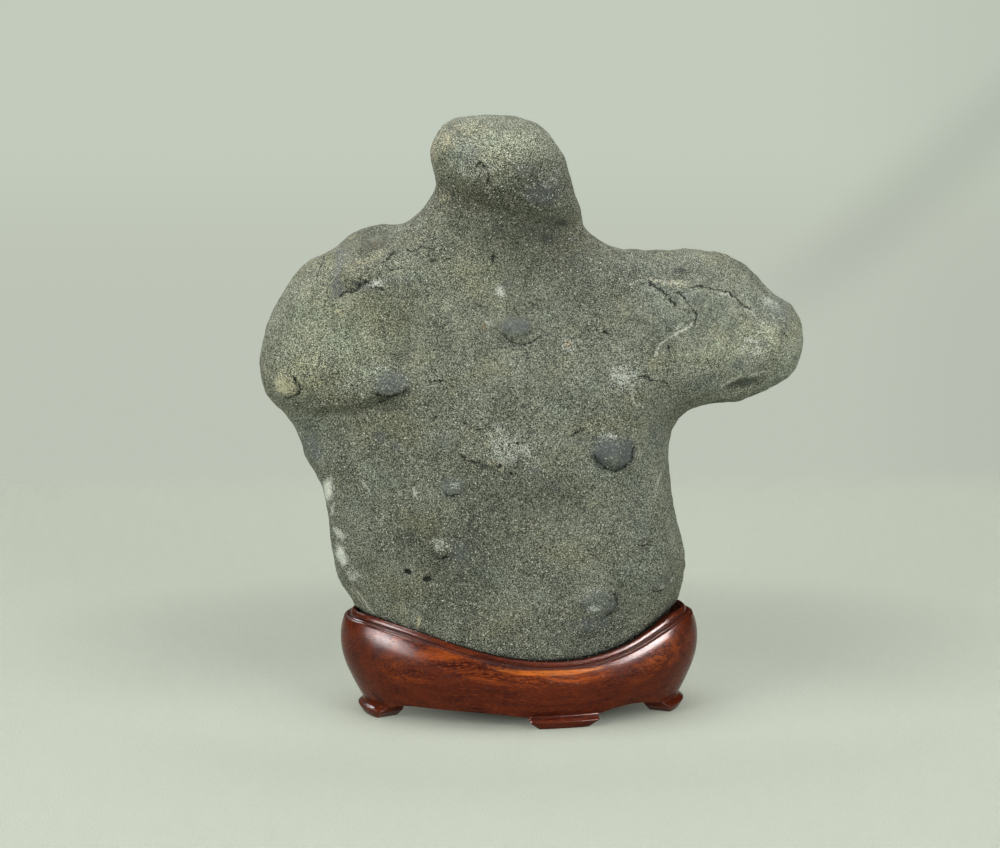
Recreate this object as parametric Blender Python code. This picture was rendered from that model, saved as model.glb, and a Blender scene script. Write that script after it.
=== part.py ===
"""Scholar's rock resting in a carved wooden stand.

Blender script, in metres, +Z up; the front faces -Y. The origin is on the surface that the
feet stand on, under the middle of the object. The tables below are in millimetres.
"""

import math

import bmesh
import bpy
import numpy as np
from mathutils import Matrix, Vector

MM = 0.001
TO_ORIGIN = (-0.9, -2.2, 0.0)   # brings the middle of the object's box over the origin

# ---- plan: ellipses, their long axis turned a little anticlockwise ----
PLAN_TURN = math.radians(3.5)
# Centre, and half length and half depth, of the rim's inner edge and of the waist above the feet.
RIM_CENTRE, RIM_HALVES = (-7.4, 1.0), (96.4, 43.0)
WAIST_CENTRE, WAIST_HALVES = (-5.9, 1.0), (94.0, 44.5)

# ---- stone ----
# The outline seen from the front, as (x, z), anticlockwise from the tip of the right arm.
OUTLINE = [
    (158.5, 226.5), (155.5, 236), (151, 242.5), (139.5, 249), (129, 259.5), (122.5, 265.5),
    (112, 271), (94, 274.5), (79, 274.5), (56.5, 274), (49, 275), (39, 280), (30, 288),
    (28, 298.5), (23, 312.5), (17, 330), (8.5, 342), (-3, 349), (-18, 352), (-33, 352),
    (-46, 349.5), (-54, 342), (-58, 332.5), (-56.5, 322), (-55, 311.5), (-59, 304),
    (-65.5, 296.5), (-75, 289.5), (-88.5, 288.5), (-103, 283.5), (-113.5, 276), (-118.5, 273.5),
    (-131.5, 266.5), (-143, 252.5), (-152.5, 235), (-156.5, 217.5), (-157, 205), (-154.5, 194),
    (-149.5, 186.5), (-142, 180), (-136, 169), (-132.5, 155.5), (-127, 145), (-122, 133),
    (-120, 119), (-119, 104), (-116, 90), (-112.5, 78.5), (-105.3, 66),
    (-94, 47), (-74, 34.5), (-46, 26), (-15, 20.5), (15, 19), (42, 23), (62, 32), (76, 44),
    (85.5, 61), (88.8, 72), (91, 85.5), (91.5, 96), (89, 105), (85, 118.5), (82.5, 134.5),
    (81, 149.5), (81, 161.5), (83.5, 171), (90.5, 179), (102.5, 183), (119, 184.5), (133, 190),
    (146, 196.5), (153.5, 203.5), (157.5, 213.5),
]
UNDERSIDE_ENDS = ((-105.3, 66.0), (85.5, 61.0))
UNDERSIDE_ROUNDING = 26.0
STONE_CENTRE = (-6.0, 200.0)
OUTLINE_SAMPLES = 600

# How thick the stone is around each place: x, z, depth in front of its middle surface,
# depth behind it, and how far in from the outline its edge is rounded.
DEPTHS = [
    (-95, 60, 43, 43, 96), (-6, 45, 43, 43, 96), (85, 60, 43, 43, 96),
    (-75, 110, 46, 44, 66), (0, 105, 47, 45, 70), (75, 110, 46, 44, 60),
    (-70, 165, 46, 45, 60), (0, 170, 49, 46, 66), (72, 160, 44, 45, 52),
    (-115, 180, 34, 36, 42), (-128, 215, 38, 36, 42), (-95, 245, 36, 34, 42), (-95, 275, 34, 28, 40),
    (-40, 225, 44, 44, 55), (35, 225, 43, 43, 55),
    (85, 232, 36, 37, 40), (125, 222, 31, 31, 34), (158, 212, 25, 26, 30),
    (-12, 268, 32, 30, 34), (-8, 290, 29, 30, 32), (-10, 318, 37, 32, 36), (-15, 335, 34, 30, 34),
]
DEPTH_BLEND = 24.0
SHOULDER_SETBACK = (-98.0, 282.0, 14.0, 16.0)   # x, z, how far that shoulder is set back, spread

# Swellings (and hollows, where the height is negative): x, z, half width, half height, height.
FRONT_SWELLINGS = [
    (13, 288, 14, 13, -5.0), (-22, 262, 12, 26, 3.0), (-62, 232, 13, 32, -4.0),
    (-120, 214, 24, 17, 4.0), (-122, 252, 16, 12, 2.0), (48, 246, 16, 34, -3.5),
    (96, 222, 28, 13, 3.0), (141, 220, 13, 13, 3.5), (120, 197, 11, 6, -4.5),
    (0, 206, 44, 13, 2.5), (-56, 122, 24, 22, 2.0), (-71, 114, 9, 10, -3.0),
    (52, 142, 26, 24, 2.5), (12, 116, 22, 26, -2.5), (76, 86, 13, 16, 3.0),
    (-92, 150, 16, 26, -3.0), (-27, 318, 11, 9, 2.0), (-48, 333, 9, 9, 1.5),
    (-112, 110, 6, 22, -3.0), (20, 60, 30, 14, 1.5),
]
BACK_SWELLINGS = [
    (-62, 168, 34, 30, 6.0), (36, 112, 34, 26, -5.0), (20, 214, 32, 24, 5.0),
    (-20, 118, 24, 30, 3.0), (-110, 226, 20, 18, 4.0), (104, 232, 22, 13, -4.0),
    (-30, 262, 16, 20, -4.0), (-14, 326, 17, 14, 3.0), (66, 176, 14, 18, 4.0),
    (-76, 92, 18, 16, -3.0), (136, 216, 12, 10, 2.5), (-70, 238, 16, 12, -3.5),
]
# Ledges: a step along a line. Its left-hand side stands out by the height, over the step's
# width, and falls back to the general surface over the reach.
FRONT_LEDGES = [
    {"line": [(30, 291), (14, 294), (-2, 297), (-19, 301), (-34, 307), (-46, 313), (-60, 323)],
     "height": -7.0, "width": 10.0, "reach": 28.0},
    {"line": [(-70, 199), (-87, 194), (-107, 188), (-127, 185), (-146, 188)],
     "height": -5.5, "width": 9.0, "reach": 24.0},
    {"line": [(-68, 294), (-80, 284), (-93, 279), (-107, 268), (-112, 256)],
     "height": 4.0, "width": 5.0, "reach": 20.0},
    {"line": [(60, 264), (76, 262), (92, 258), (108, 254), (120, 246), (130, 238)],
     "height": -2.5, "width": 3.0, "reach": 22.0},
    {"line": [(56, 270), (74, 269), (92, 266), (106, 262)],
     "height": -2.0, "width": 3.0, "reach": 12.0},
    {"line": [(-20, 241), (-12, 229), (-2, 232), (4, 238)],
     "height": 1.6, "width": 2.5, "reach": 10.0},
    {"line": [(62, 190), (70, 201), (84, 198), (92, 188)],
     "height": 1.8, "width": 5.0, "reach": 12.0},
]
BACK_LEDGES = [
    {"line": [(-98, 232), (-62, 214), (-24, 196), (14, 200), (48, 212)],
     "height": 5.0, "width": 8.0, "reach": 30.0},
    {"line": [(52, 252), (84, 246), (112, 240), (136, 226)],
     "height": 3.5, "width": 6.0, "reach": 18.0},
    {"line": [(-46, 308), (-22, 299), (2, 298), (20, 303)],
     "height": 5.0, "width": 8.0, "reach": 20.0},
    {"line": [(-88, 138), (-58, 124), (-36, 96), (-30, 70)],
     "height": 4.0, "width": 7.0, "reach": 22.0},
    {"line": [(18, 168), (44, 150), (72, 146)],
     "height": -4.0, "width": 7.0, "reach": 20.0},
]
# Grooves: a line, how deep and how wide.
FRONT_GROOVES = [
    {"line": [(-116, 280), (-112, 268), (-111, 258), (-107, 249)], "depth": 2.0, "width": 4.0},
    {"line": [(-107, 256), (-99, 259), (-90, 261), (-84, 260)], "depth": 2.5, "width": 3.0},
    {"line": [(-14, 294), (-19, 282), (-22, 270)], "depth": 2.0, "width": 6.0},
]
BACK_GROOVES = [
    {"line": [(-18, 286), (-8, 262), (10, 246)], "depth": 3.5, "width": 6.0},
    {"line": [(-104, 186), (-84, 172), (-66, 166)], "depth": 3.0, "width": 5.0},
]
STONE_MERIDIANS = 76
STONE_RINGS = 34

# Nodules that stand out of the surface: x, z, half width, half height, height.
FRONT_NODULES = [
    (45.7, 164.2, 12.0, 11.0, 3.4), (-16.5, 165.7, 11.0, 13.0, 3.2), (-89.3, 204.2, 15.0, 8.0, 2.6),
    (-141.5, 201.8, 8.0, 8.5, 2.2), (37.5, 75.0, 12.5, 12.0, 2.8), (-11.4, 236.0, 8.0, 5.5, 1.4),
    (-54.0, 110.5, 6.5, 6.0, 1.8), (-46.0, 145.4, 6.5, 6.0, 1.5), (74.5, 84.4, 7.5, 7.0, 1.8),
    (-48.7, 174.2, 6.5, 5.5, 1.4), (-26.6, 316.5, 5.0, 3.5, 1.4),
]
BACK_NODULES = [
    (52.0, 188.0, 12.0, 10.0, 3.0), (-22.0, 150.0, 10.0, 12.0, 2.8), (-104.0, 204.0, 10.0, 8.0, 2.4),
    (28.0, 92.0, 11.0, 9.0, 2.6),
]
# Pits in the front: x, z, half width, half height.
PITS = [(-72.0, 95.0, 1.9, 1.3), (-60.5, 90.5, 2.2, 1.5), (-27.7, 324.6, 2.0, 1.1)]
PIT_DEPTH = 2.5
NODULE_SEGMENTS, NODULE_RINGS = 10, 8
NODULE_SUNK = 1.2   # how much of it is below the surface, in its heights
PIT_SEGMENTS, PIT_RINGS = 8, 6

# ---- stand ----
SEAT_GAP = 0.5
# Height of the rim's top edge along x: it dips like a saddle.
RIM_HEIGHTS = [
    (-112, 62.3), (-92, 62.7), (-77, 60.0), (-59, 55.1), (-42, 49.8), (-25, 45.2), (-7, 41.7),
    (7, 40.3), (22, 40.2), (39, 42.6), (57, 48.4), (72, 56.0), (84.5, 62.2), (98, 63.2),
]
# The rim's moulding from the inside out: offset from the rim's ellipse, height from the top.
# At the two ends it is wider by the share below.
RIM_PROFILE = [(0.2, -3.6), (0.3, -0.5), (0.8, 0.0), (1.9, -0.9), (2.4, -2.3), (2.2, -2.8),
               (3.3, -3.0), (4.1, -3.7)]
ARRIS_OFFSET, ARRIS_DROP = RIM_PROFILE[-1]
WIDER_AT_ENDS = 0.75
# The belly from the arris down to the waist: share of the height, share of the full bulge.
BELLY = [(0.92, 0.36), (0.82, 0.67), (0.70, 0.90), (0.57, 1.0), (0.43, 0.93), (0.29, 0.70), (0.15, 0.40)]
BELLY_BULGE = 6.7
FULL_BELLY_HEIGHT = 52.5
BULGE_POWER = 1.3
WAIST_HEIGHT = 7.6
UNDERSIDE_HEIGHT = 11.5

# Feet: place round the plan (eccentric angle), and how far the apron sweeps down to the foot
# before it and after it, going anticlockwise from the right end.
FEET = [(92.0, 14.0, 14.0), (188.0, 9.0, 8.0), (283.3, 26.0, 13.0), (354.0, 13.0, 9.0)]
SWEEP_DROP = 5.2
SOLE_HALF_LENGTH = 14.3
RIDGE_HALF_LENGTH = 19.6
RIDGE_HEIGHT = 4.8
RIDGE_OFFSET = 3.9
SOLE_OFFSET = 1.0
FOOT_DEPTH = 12.0
# Where the lines round the stand lie, from a foot's middle outwards.
FOOT_MARKS = [0.0, 7.5, 14.3, 19.6, 20.8, 24.0, 29.0]
WIDEST_STEP = math.radians(9.0)


def round_curve(points, count):
    """Evenly spaced points along the closed Catmull-Rom curve through the given ones."""
    points = np.asarray(points, float)
    steps = 16
    place = np.arange(len(points) * steps) / steps
    at = place.astype(int)
    t = (place - at)[:, None]
    a, b, c, d = (points[(at + k) % len(points)] for k in (-1, 0, 1, 2))
    bend, twist = 2 * a - 5 * b + 4 * c - d, 3 * b - a - 3 * c + d
    curve = 0.5 * (2 * b + (c - a) * t + bend * t**2 + twist * t**3)
    curve = np.vstack([curve, curve[:1]])
    length = np.r_[0, np.cumsum(np.linalg.norm(np.diff(curve, axis=0), axis=1))]
    wanted = np.linspace(0, length[-1], count, endpoint=False)
    return np.stack([np.interp(wanted, length, curve[:, k]) for k in (0, 1)], axis=-1)


def smooth_step(share):
    """0 up to 0, 1 from 1 on, and smooth in between."""
    share = np.clip(share, 0, 1)
    return share * share * (3 - 2 * share)


def rounded(share):
    """A quarter circle: 0 at the edge, level from 1 on."""
    return np.sqrt(1 - (1 - np.clip(share, 0, 1)) ** 2)


def nearest_on(line, x, z):
    """Distance to an open line, signed + on its left, and the share of the way along it."""
    line = np.asarray(line, float)
    start, run = line[:-1], np.diff(line, axis=0)
    to_x, to_z = x[:, None] - start[:, 0], z[:, None] - start[:, 1]
    share = np.clip((to_x * run[:, 0] + to_z * run[:, 1]) / (run**2).sum(axis=1), 0, 1)
    away = np.hypot(to_x - share * run[:, 0], to_z - share * run[:, 1])
    pick = away.argmin(axis=1)
    rows = np.arange(len(x))
    side = np.sign(run[pick, 0] * to_z[rows, pick] - run[pick, 1] * to_x[rows, pick])
    lengths = np.linalg.norm(run, axis=1)
    along = (np.cumsum(lengths) - lengths)[pick] + share[rows, pick] * lengths[pick]
    return side * away[rows, pick], along / lengths.sum()


def swellings(table, x, z):
    """The sum of all bell-shaped swellings at each place."""
    total = np.zeros_like(x)
    for at_x, at_z, half_width, half_height, height in table:
        total += height * np.exp(-((x - at_x) / half_width) ** 2 - ((z - at_z) / half_height) ** 2)
    return total


def ledges(table, x, z):
    total = np.zeros_like(x)
    for ledge in table:
        across, along = nearest_on(ledge["line"], x, z)
        ends = smooth_step(along / 0.15) * smooth_step((1 - along) / 0.15)
        step = smooth_step(across / ledge["width"] + 0.5)
        total += ledge["height"] * ends * step * np.exp(-(np.clip(across, 0, None) / ledge["reach"]) ** 2)
    return total


def grooves(table, x, z):
    total = np.zeros_like(x)
    for groove in table:
        across, along = nearest_on(groove["line"], x, z)
        ends = smooth_step(along / 0.2) * smooth_step((1 - along) / 0.2)
        total -= groove["depth"] * ends * np.exp(-(across / groove["width"]) ** 2)
    return total


def depths_at(x, z):
    """Front depth, back depth and edge rounding at each place, blended between the listed ones."""
    table = np.array(DEPTHS, float)
    away = (x[:, None] - table[:, 0]) ** 2 + (z[:, None] - table[:, 1]) ** 2
    weight = np.exp(-away / (2 * DEPTH_BLEND**2)) + 1e-9
    weight /= weight.sum(axis=1, keepdims=True)
    return (weight @ table[:, 2:]).T


def middle_surface(x, z):
    """The y of the stone's middle surface: turned like the plan, one shoulder set back."""
    at_x, at_z, setback, spread = SHOULDER_SETBACK
    shoulder = setback * np.exp(-((x - at_x) / (2 * spread)) ** 2 - ((z - at_z) / spread) ** 2)
    return RIM_CENTRE[1] + (x - RIM_CENTRE[0]) * math.tan(PLAN_TURN) + shoulder


def stone_y(x, z, outline, is_back):
    """The y of the stone's front or back surface over the place (x, z) inside the outline."""
    first, last = (np.hypot(*(outline - end).T).argmin() for end in UNDERSIDE_ENDS)
    sides = np.vstack([outline[last:], outline[:first + 1]])
    below = np.array([(0, -60), (0, -20)])
    sides = np.vstack([sides[0] + below, sides, sides[-1] + below[::-1]])
    underside = outline[first:last + 1]

    front, back, edge = depths_at(x, z)
    swell = rounded(np.abs(nearest_on(sides, x, z)[0]) / edge)
    swell *= rounded((z - np.interp(x, underside[:, 0], underside[:, 1])) / UNDERSIDE_ROUNDING)
    front_relief = swellings(FRONT_SWELLINGS, x, z) + ledges(FRONT_LEDGES, x, z) + grooves(FRONT_GROOVES, x, z)
    back_relief = swellings(BACK_SWELLINGS, x, z) + ledges(BACK_LEDGES, x, z) + grooves(BACK_GROOVES, x, z)
    depth = np.where(is_back, back + back_relief, -front - front_relief)
    return middle_surface(x, z) + depth * swell


def stone_points(turn, tilt):
    """The stone's points. turn is the share of the way round the outline, and tilt the angle
    from the middle of the front (0) over the outline (a quarter turn) to the back (a half)."""
    outline = round_curve(OUTLINE, OUTLINE_SAMPLES)
    closed = np.vstack([outline, outline[:1]])
    marks = np.linspace(0, 1, OUTLINE_SAMPLES + 1)
    rim_x, rim_z = (np.interp(turn, marks, closed[:, k]) for k in (0, 1))
    reach = np.sin(tilt)
    x = STONE_CENTRE[0] + reach * (rim_x - STONE_CENTRE[0])
    z = STONE_CENTRE[1] + reach * (rim_z - STONE_CENTRE[1])
    y = stone_y(x, z, outline, tilt > math.pi / 2)
    return np.stack([x, np.where(np.isclose(reach, 1), middle_surface(x, z), y), z], axis=-1)


def plan_points(angle, half_length, half_depth, rise):
    """Points of an ellipse of the plan at each eccentric angle. Its centre goes from the
    waist's to the rim's as the rise goes from 0 to 1."""
    along, across = half_length * np.cos(angle), half_depth * np.sin(angle)
    cos, sin = math.cos(PLAN_TURN), math.sin(PLAN_TURN)
    centre_x, centre_y = np.array(WAIST_CENTRE) * (1 - rise) + np.array(RIM_CENTRE) * rise
    return np.stack([centre_x + along * cos - across * sin, centre_y + along * sin + across * cos], axis=-1)


def plan_lengths():
    """Eccentric angles round the waist, and the length of its ellipse up to each."""
    angle = np.linspace(0, 2 * math.pi, 1441)
    steps = np.linalg.norm(np.diff(plan_points(angle, *WAIST_HALVES, 0.0), axis=0), axis=1)
    return angle, np.r_[0, np.cumsum(steps)]


def rim_height(x):
    """A smooth curve through the listed heights of the rim."""
    at, height = np.array(RIM_HEIGHTS, float).T
    slope = np.gradient(height, at)
    k = np.clip(np.searchsorted(at, x) - 1, 0, len(at) - 2)
    span = at[k + 1] - at[k]
    t = (x - at[k]) / span
    return (height[k] * (1 + 2 * t) * (1 - t) ** 2 + height[k + 1] * t**2 * (3 - 2 * t)
            + span * (slope[k] * t * (1 - t) ** 2 - slope[k + 1] * t**2 * (1 - t)))


def stand_angles():
    """Where the lines round the stand lie: at each foot's corners, and filled in between."""
    angle, length = plan_lengths()
    marks = []
    for place, _, _ in FEET:
        middle = np.interp(math.radians(place), angle, length)
        marks += [middle + side * mark for mark in FOOT_MARKS for side in (-1, 1)]
    corners = np.unique(np.round(np.interp(np.mod(marks, length[-1]), length, angle), 6))
    following = np.r_[corners[1:], corners[0] + 2 * math.pi]
    filled = [np.linspace(a, b, math.ceil((b - a) / WIDEST_STEP), endpoint=False)
              if b - a > WIDEST_STEP else np.array([a]) for a, b in zip(corners, following)]
    return np.concatenate(filled)


def foot_fields(angles):
    """At each angle: the distance from the nearest foot's middle, and the apron's lower edge."""
    angle, length = plan_lengths()
    here = np.interp(np.mod(angles, 2 * math.pi), angle, length)
    nearest = np.full(len(angles), np.inf)
    drop = np.zeros(len(angles))
    for place, before, after in FEET:
        away = here - np.interp(math.radians(place), angle, length)
        away = (away + length[-1] / 2) % length[-1] - length[-1] / 2
        sweep = np.where(away < 0, before, after)
        drop = np.maximum(drop, SWEEP_DROP * np.exp(-np.clip(abs(away) - RIDGE_HALF_LENGTH, 0, None) / sweep))
        nearest = np.minimum(nearest, abs(away))
    return nearest, UNDERSIDE_HEIGHT - drop


def stand_rings(angles):
    """The stand's cross-sections as rings, from the foot of the rim's rebate over the rim and
    down the belly to the feet, then inwards underneath. Each ring is half length, half depth,
    rise of the plan's centre and height."""
    ones = np.ones(len(angles))
    rim, waist = np.array(RIM_HALVES)[:, None], np.array(WAIST_HALVES)[:, None]
    wider = 1 + WIDER_AT_ENDS * np.cos(angles) ** 2
    top = rim_height(plan_points(angles, *RIM_HALVES, 1.0)[:, 0])
    rings = [(*(rim + offset * wider), 1.0, top + height) for offset, height in RIM_PROFILE]

    nearest, apron = foot_fields(angles)
    at_foot = smooth_step((26.0 - nearest) / 6.0)
    low = WAIST_HEIGHT * at_foot + (apron + 0.6) * (1 - at_foot)
    arris = top + ARRIS_DROP
    tall = ((arris - WAIST_HEIGHT) / FULL_BELLY_HEIGHT) ** BULGE_POWER
    for share, bulge in BELLY:
        halves = waist + (rim + ARRIS_OFFSET * wider - waist) * share + BELLY_BULGE * bulge * tall
        rings.append((*halves, share, low + (arris - low) * share))
    rings.append((*(waist + 0.6 * (1 - at_foot)), 0.0, low))

    # The foot's upper face and its ridge, which between the feet draw together at the apron's edge.
    for foot, between in (((0.9, 6.6), (0.5, 0.3)), ((RIDGE_OFFSET, RIDGE_HEIGHT), (0.2, 0.1))):
        inside = smooth_step(RIDGE_HALF_LENGTH + 1.1 - nearest)
        offset = between[0] + (foot[0] - between[0]) * inside
        rings.append((*(waist + offset), 0.0, (apron + between[1]) * (1 - inside) + foot[1] * inside))

    # The sole, which rises to the ridge's tips, the inner side of the foot and the plate's underside.
    slant = np.clip((nearest - SOLE_HALF_LENGTH) / (RIDGE_HALF_LENGTH - SOLE_HALF_LENGTH), 0, 1)
    inside = smooth_step(RIDGE_HALF_LENGTH + 1.1 - nearest)
    sole = (RIDGE_HEIGHT - 0.6) * slant
    offset = (SOLE_OFFSET + (RIDGE_OFFSET - SOLE_OFFSET) * 0.7 * slant) * inside - 0.8 * (1 - inside)
    rings.append((*(waist + offset), 0.0, sole * inside + apron * (1 - inside)))
    rings.append((*(waist - FOOT_DEPTH * ones), 0.0, sole * inside + UNDERSIDE_HEIGHT * (1 - inside)))
    rings.append((*(waist - (FOOT_DEPTH + 1.0) * ones), 0.0, UNDERSIDE_HEIGHT * ones))
    return rings


def clear_scene():
    for obj in list(bpy.data.objects):
        bpy.data.objects.remove(obj)


def finish_of(name, colour, roughness):
    material = bpy.data.materials.new(name)
    material.use_nodes = True
    shader = material.node_tree.nodes["Principled BSDF"]
    shader.inputs["Base Color"].default_value = (*colour, 1)
    shader.inputs["Roughness"].default_value = roughness
    return material


def face_outwards(shape):
    shape.normal_update()
    bmesh.ops.recalc_face_normals(shape, faces=shape.faces)
    shape.normal_update()


def make_object(name, shape, collection, material=None):
    """Turn a bmesh in millimetres into a smooth-shaded object in metres."""
    face_outwards(shape)
    bmesh.ops.transform(shape, matrix=Matrix.Scale(MM, 4) @ Matrix.Translation(TO_ORIGIN), verts=shape.verts)
    mesh = bpy.data.meshes.new(name)
    shape.to_mesh(mesh)
    shape.free()
    mesh.shade_smooth()
    if material:
        mesh.materials.append(material)
    obj = bpy.data.objects.new(name, mesh)
    collection.objects.link(obj)
    return obj


def stone_shape(swell=0.0):
    """A UV sphere with its poles at the front and back, drawn out to the stone's form."""
    shape = bmesh.new()
    bmesh.ops.create_uvsphere(shape, u_segments=STONE_MERIDIANS, v_segments=STONE_RINGS, radius=1)
    sphere = np.array([vert.co for vert in shape.verts])
    turn = (np.arctan2(sphere[:, 1], sphere[:, 0]) / (2 * math.pi)) % 1
    tilt = np.arccos(np.clip(sphere[:, 2], -1, 1))
    for vert, place in zip(shape.verts, stone_points(turn, tilt)):
        vert.co = place
    face_outwards(shape)
    if swell:
        moved = [vert.co + vert.normal * swell for vert in shape.verts]
        for vert, place in zip(shape.verts, moved):
            vert.co = place
    return shape


def boolean(target, tool, operation):
    cut = target.modifiers.new(tool.name, "BOOLEAN")
    cut.operation = operation
    cut.object = tool


def surface_place(x, z, is_back):
    """A point of the stone's front or back, and the direction that it faces."""
    step = 1.0
    near_x = np.array([x, x - step, x + step, x, x])
    near_z = np.array([z, z, z, z - step, z + step])
    y = stone_y(near_x, near_z, round_curve(OUTLINE, OUTLINE_SAMPLES), np.full(5, is_back))
    facing = Vector(((y[2] - y[1]) / (2 * step), -1.0, (y[4] - y[3]) / (2 * step))).normalized()
    return Vector((x, y[0], z)), -facing if is_back else facing


def make_ellipsoid(name, halves, segments, rings, place, facing, cutters):
    shape = bmesh.new()
    bmesh.ops.create_uvsphere(shape, u_segments=segments, v_segments=rings, radius=1)
    bmesh.ops.scale(shape, vec=halves, verts=shape.verts)
    pose = Matrix.Translation(place) @ facing.to_track_quat("Z", "Y").to_matrix().to_4x4()
    bmesh.ops.transform(shape, matrix=pose, verts=shape.verts)
    obj = make_object(name, shape, cutters)
    obj.hide_render = True
    obj.display_type = "WIRE"
    return obj


def make_nodule(name, x, z, half_width, half_height, height, is_back, cutters):
    """A flat ellipsoid, most of it sunk in the stone, to be fused to it."""
    place, facing = surface_place(x, z, is_back)
    spread = 1 / math.sqrt(1 - (NODULE_SUNK / (1 + NODULE_SUNK)) ** 2)
    halves = (half_width * spread, half_height * spread, height * (1 + NODULE_SUNK))
    centre = place - facing * height * NODULE_SUNK
    return make_ellipsoid(name, halves, NODULE_SEGMENTS, NODULE_RINGS, centre, facing, cutters)


def make_stone(collection, cutters):
    stone = make_object("stone", stone_shape(), collection, finish_of("stone", (0.15, 0.16, 0.12), 0.85))
    for side, table in (("front", FRONT_NODULES), ("back", BACK_NODULES)):
        for number, values in enumerate(table):
            nodule = make_nodule(f"{side}_nodule_{number}", *values, side == "back", cutters)
            boolean(stone, nodule, "UNION")
    for number, (x, z, half_width, half_height) in enumerate(PITS):
        halves = (half_width, half_height, PIT_DEPTH)
        pit = make_ellipsoid(f"pit_{number}", halves, PIT_SEGMENTS, PIT_RINGS, *surface_place(x, z, False), cutters)
        boolean(stone, pit, "DIFFERENCE")
    return stone


def make_stand(collection, cutters):
    """A loft of rings between the rebate and the underside, with the stone's seat cut out."""
    angles = stand_angles()
    shape = bmesh.new()
    loops = []
    for half_length, half_depth, rise, height in stand_rings(angles):
        places = np.column_stack([plan_points(angles, half_length, half_depth, rise), height])
        loops.append([shape.verts.new(place) for place in places])
    count = len(angles)
    for upper, lower in zip(loops, loops[1:]):
        for k in range(count):
            shape.faces.new((upper[k], lower[k], lower[(k + 1) % count], upper[(k + 1) % count]))
    for loop, height in ((loops[0], rim_height(np.array([0.0]))[0] + 8), (loops[-1], UNDERSIDE_HEIGHT)):
        middle = shape.verts.new((*WAIST_CENTRE, height))
        for k in range(count):
            shape.faces.new((loop[k], loop[(k + 1) % count], middle))
    stand = make_object("stand", shape, collection, finish_of("stand", (0.12, 0.03, 0.015), 0.35))
    seat = make_object("seat_cutter", stone_shape(SEAT_GAP), cutters)
    seat.hide_render = True
    seat.display_type = "WIRE"
    boolean(stand, seat, "DIFFERENCE")
    return stand


def main():
    clear_scene()
    parts = bpy.data.collections.new("scholars_rock")
    cutters = bpy.data.collections.new("cutters")
    for collection in (parts, cutters):
        bpy.context.scene.collection.children.link(collection)
    make_stone(parts, cutters)
    make_stand(parts, cutters)


main()
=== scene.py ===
# A scholar's rock resting in a carved wooden stand.
# Shapes are worked out in millimetres, with +Z up and the front facing -Y, and stored in metres.
import math

import bpy
import numpy as np
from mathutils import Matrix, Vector


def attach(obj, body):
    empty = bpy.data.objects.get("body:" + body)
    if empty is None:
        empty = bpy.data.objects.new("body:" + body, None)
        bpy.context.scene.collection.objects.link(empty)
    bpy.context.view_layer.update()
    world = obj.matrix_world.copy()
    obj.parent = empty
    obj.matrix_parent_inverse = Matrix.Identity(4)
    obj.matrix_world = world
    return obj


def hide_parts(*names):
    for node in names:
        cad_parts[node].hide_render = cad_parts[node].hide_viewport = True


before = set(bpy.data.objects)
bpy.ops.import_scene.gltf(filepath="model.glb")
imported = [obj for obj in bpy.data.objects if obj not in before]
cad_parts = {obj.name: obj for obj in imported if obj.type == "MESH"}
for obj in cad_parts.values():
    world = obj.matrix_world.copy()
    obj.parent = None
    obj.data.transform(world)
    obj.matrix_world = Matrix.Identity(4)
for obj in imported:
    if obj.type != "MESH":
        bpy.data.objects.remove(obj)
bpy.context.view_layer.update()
print("stage: frame loaded")

metre = 0.001                 # one millimetre in metres
toOrigin = (-0.9, -2.2, 0.0)  # brings the middle of the object's box over the origin


# maths that the pieces share

def smoothStep(share):
    # 0 up to 0, 1 from 1 on, and the cubic 3s^2 - 2s^3 in between
    share = np.clip(share, 0, 1)
    return share * share * (3 - 2 * share)


def rounded(share):
    # a quarter circle: 0 at the edge, level from 1 on
    return np.sqrt(1 - (1 - np.clip(share, 0, 1)) ** 2)


def smoothThrough(table, at):
    # cubic curve through the table's points, whose slope at each is the mean of its neighbours'
    place, height = np.array(table, float).T
    slope = np.gradient(height, place)
    k = np.clip(np.searchsorted(place, at) - 1, 0, len(place) - 2)
    span = place[k + 1] - place[k]
    t = (at - place[k]) / span
    return (height[k] * (1 + 2 * t) * (1 - t) ** 2 + height[k + 1] * t**2 * (3 - 2 * t)
            + span * (slope[k] * t * (1 - t) ** 2 - slope[k + 1] * t**2 * (1 - t)))


def roundCurve(points, count, steps=16):
    # closed Catmull-Rom curve through the points, then resampled at even lengths
    points = np.asarray(points, float)
    place = np.arange(len(points) * steps) / steps
    at = place.astype(int)
    t = (place - at)[:, None]
    a, b, c, d = (points[(at + k) % len(points)] for k in (-1, 0, 1, 2))
    bend, twist = 2 * a - 5 * b + 4 * c - d, 3 * b - a - 3 * c + d
    curve = 0.5 * (2 * b + (c - a) * t + bend * t**2 + twist * t**3)
    curve = np.vstack([curve, curve[:1]])
    length = np.r_[0, np.cumsum(np.linalg.norm(np.diff(curve, axis=0), axis=1))]
    wanted = np.linspace(0, length[-1], count, endpoint=False)
    return np.stack([np.interp(wanted, length, curve[:, k]) for k in (0, 1)], axis=-1)


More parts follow.
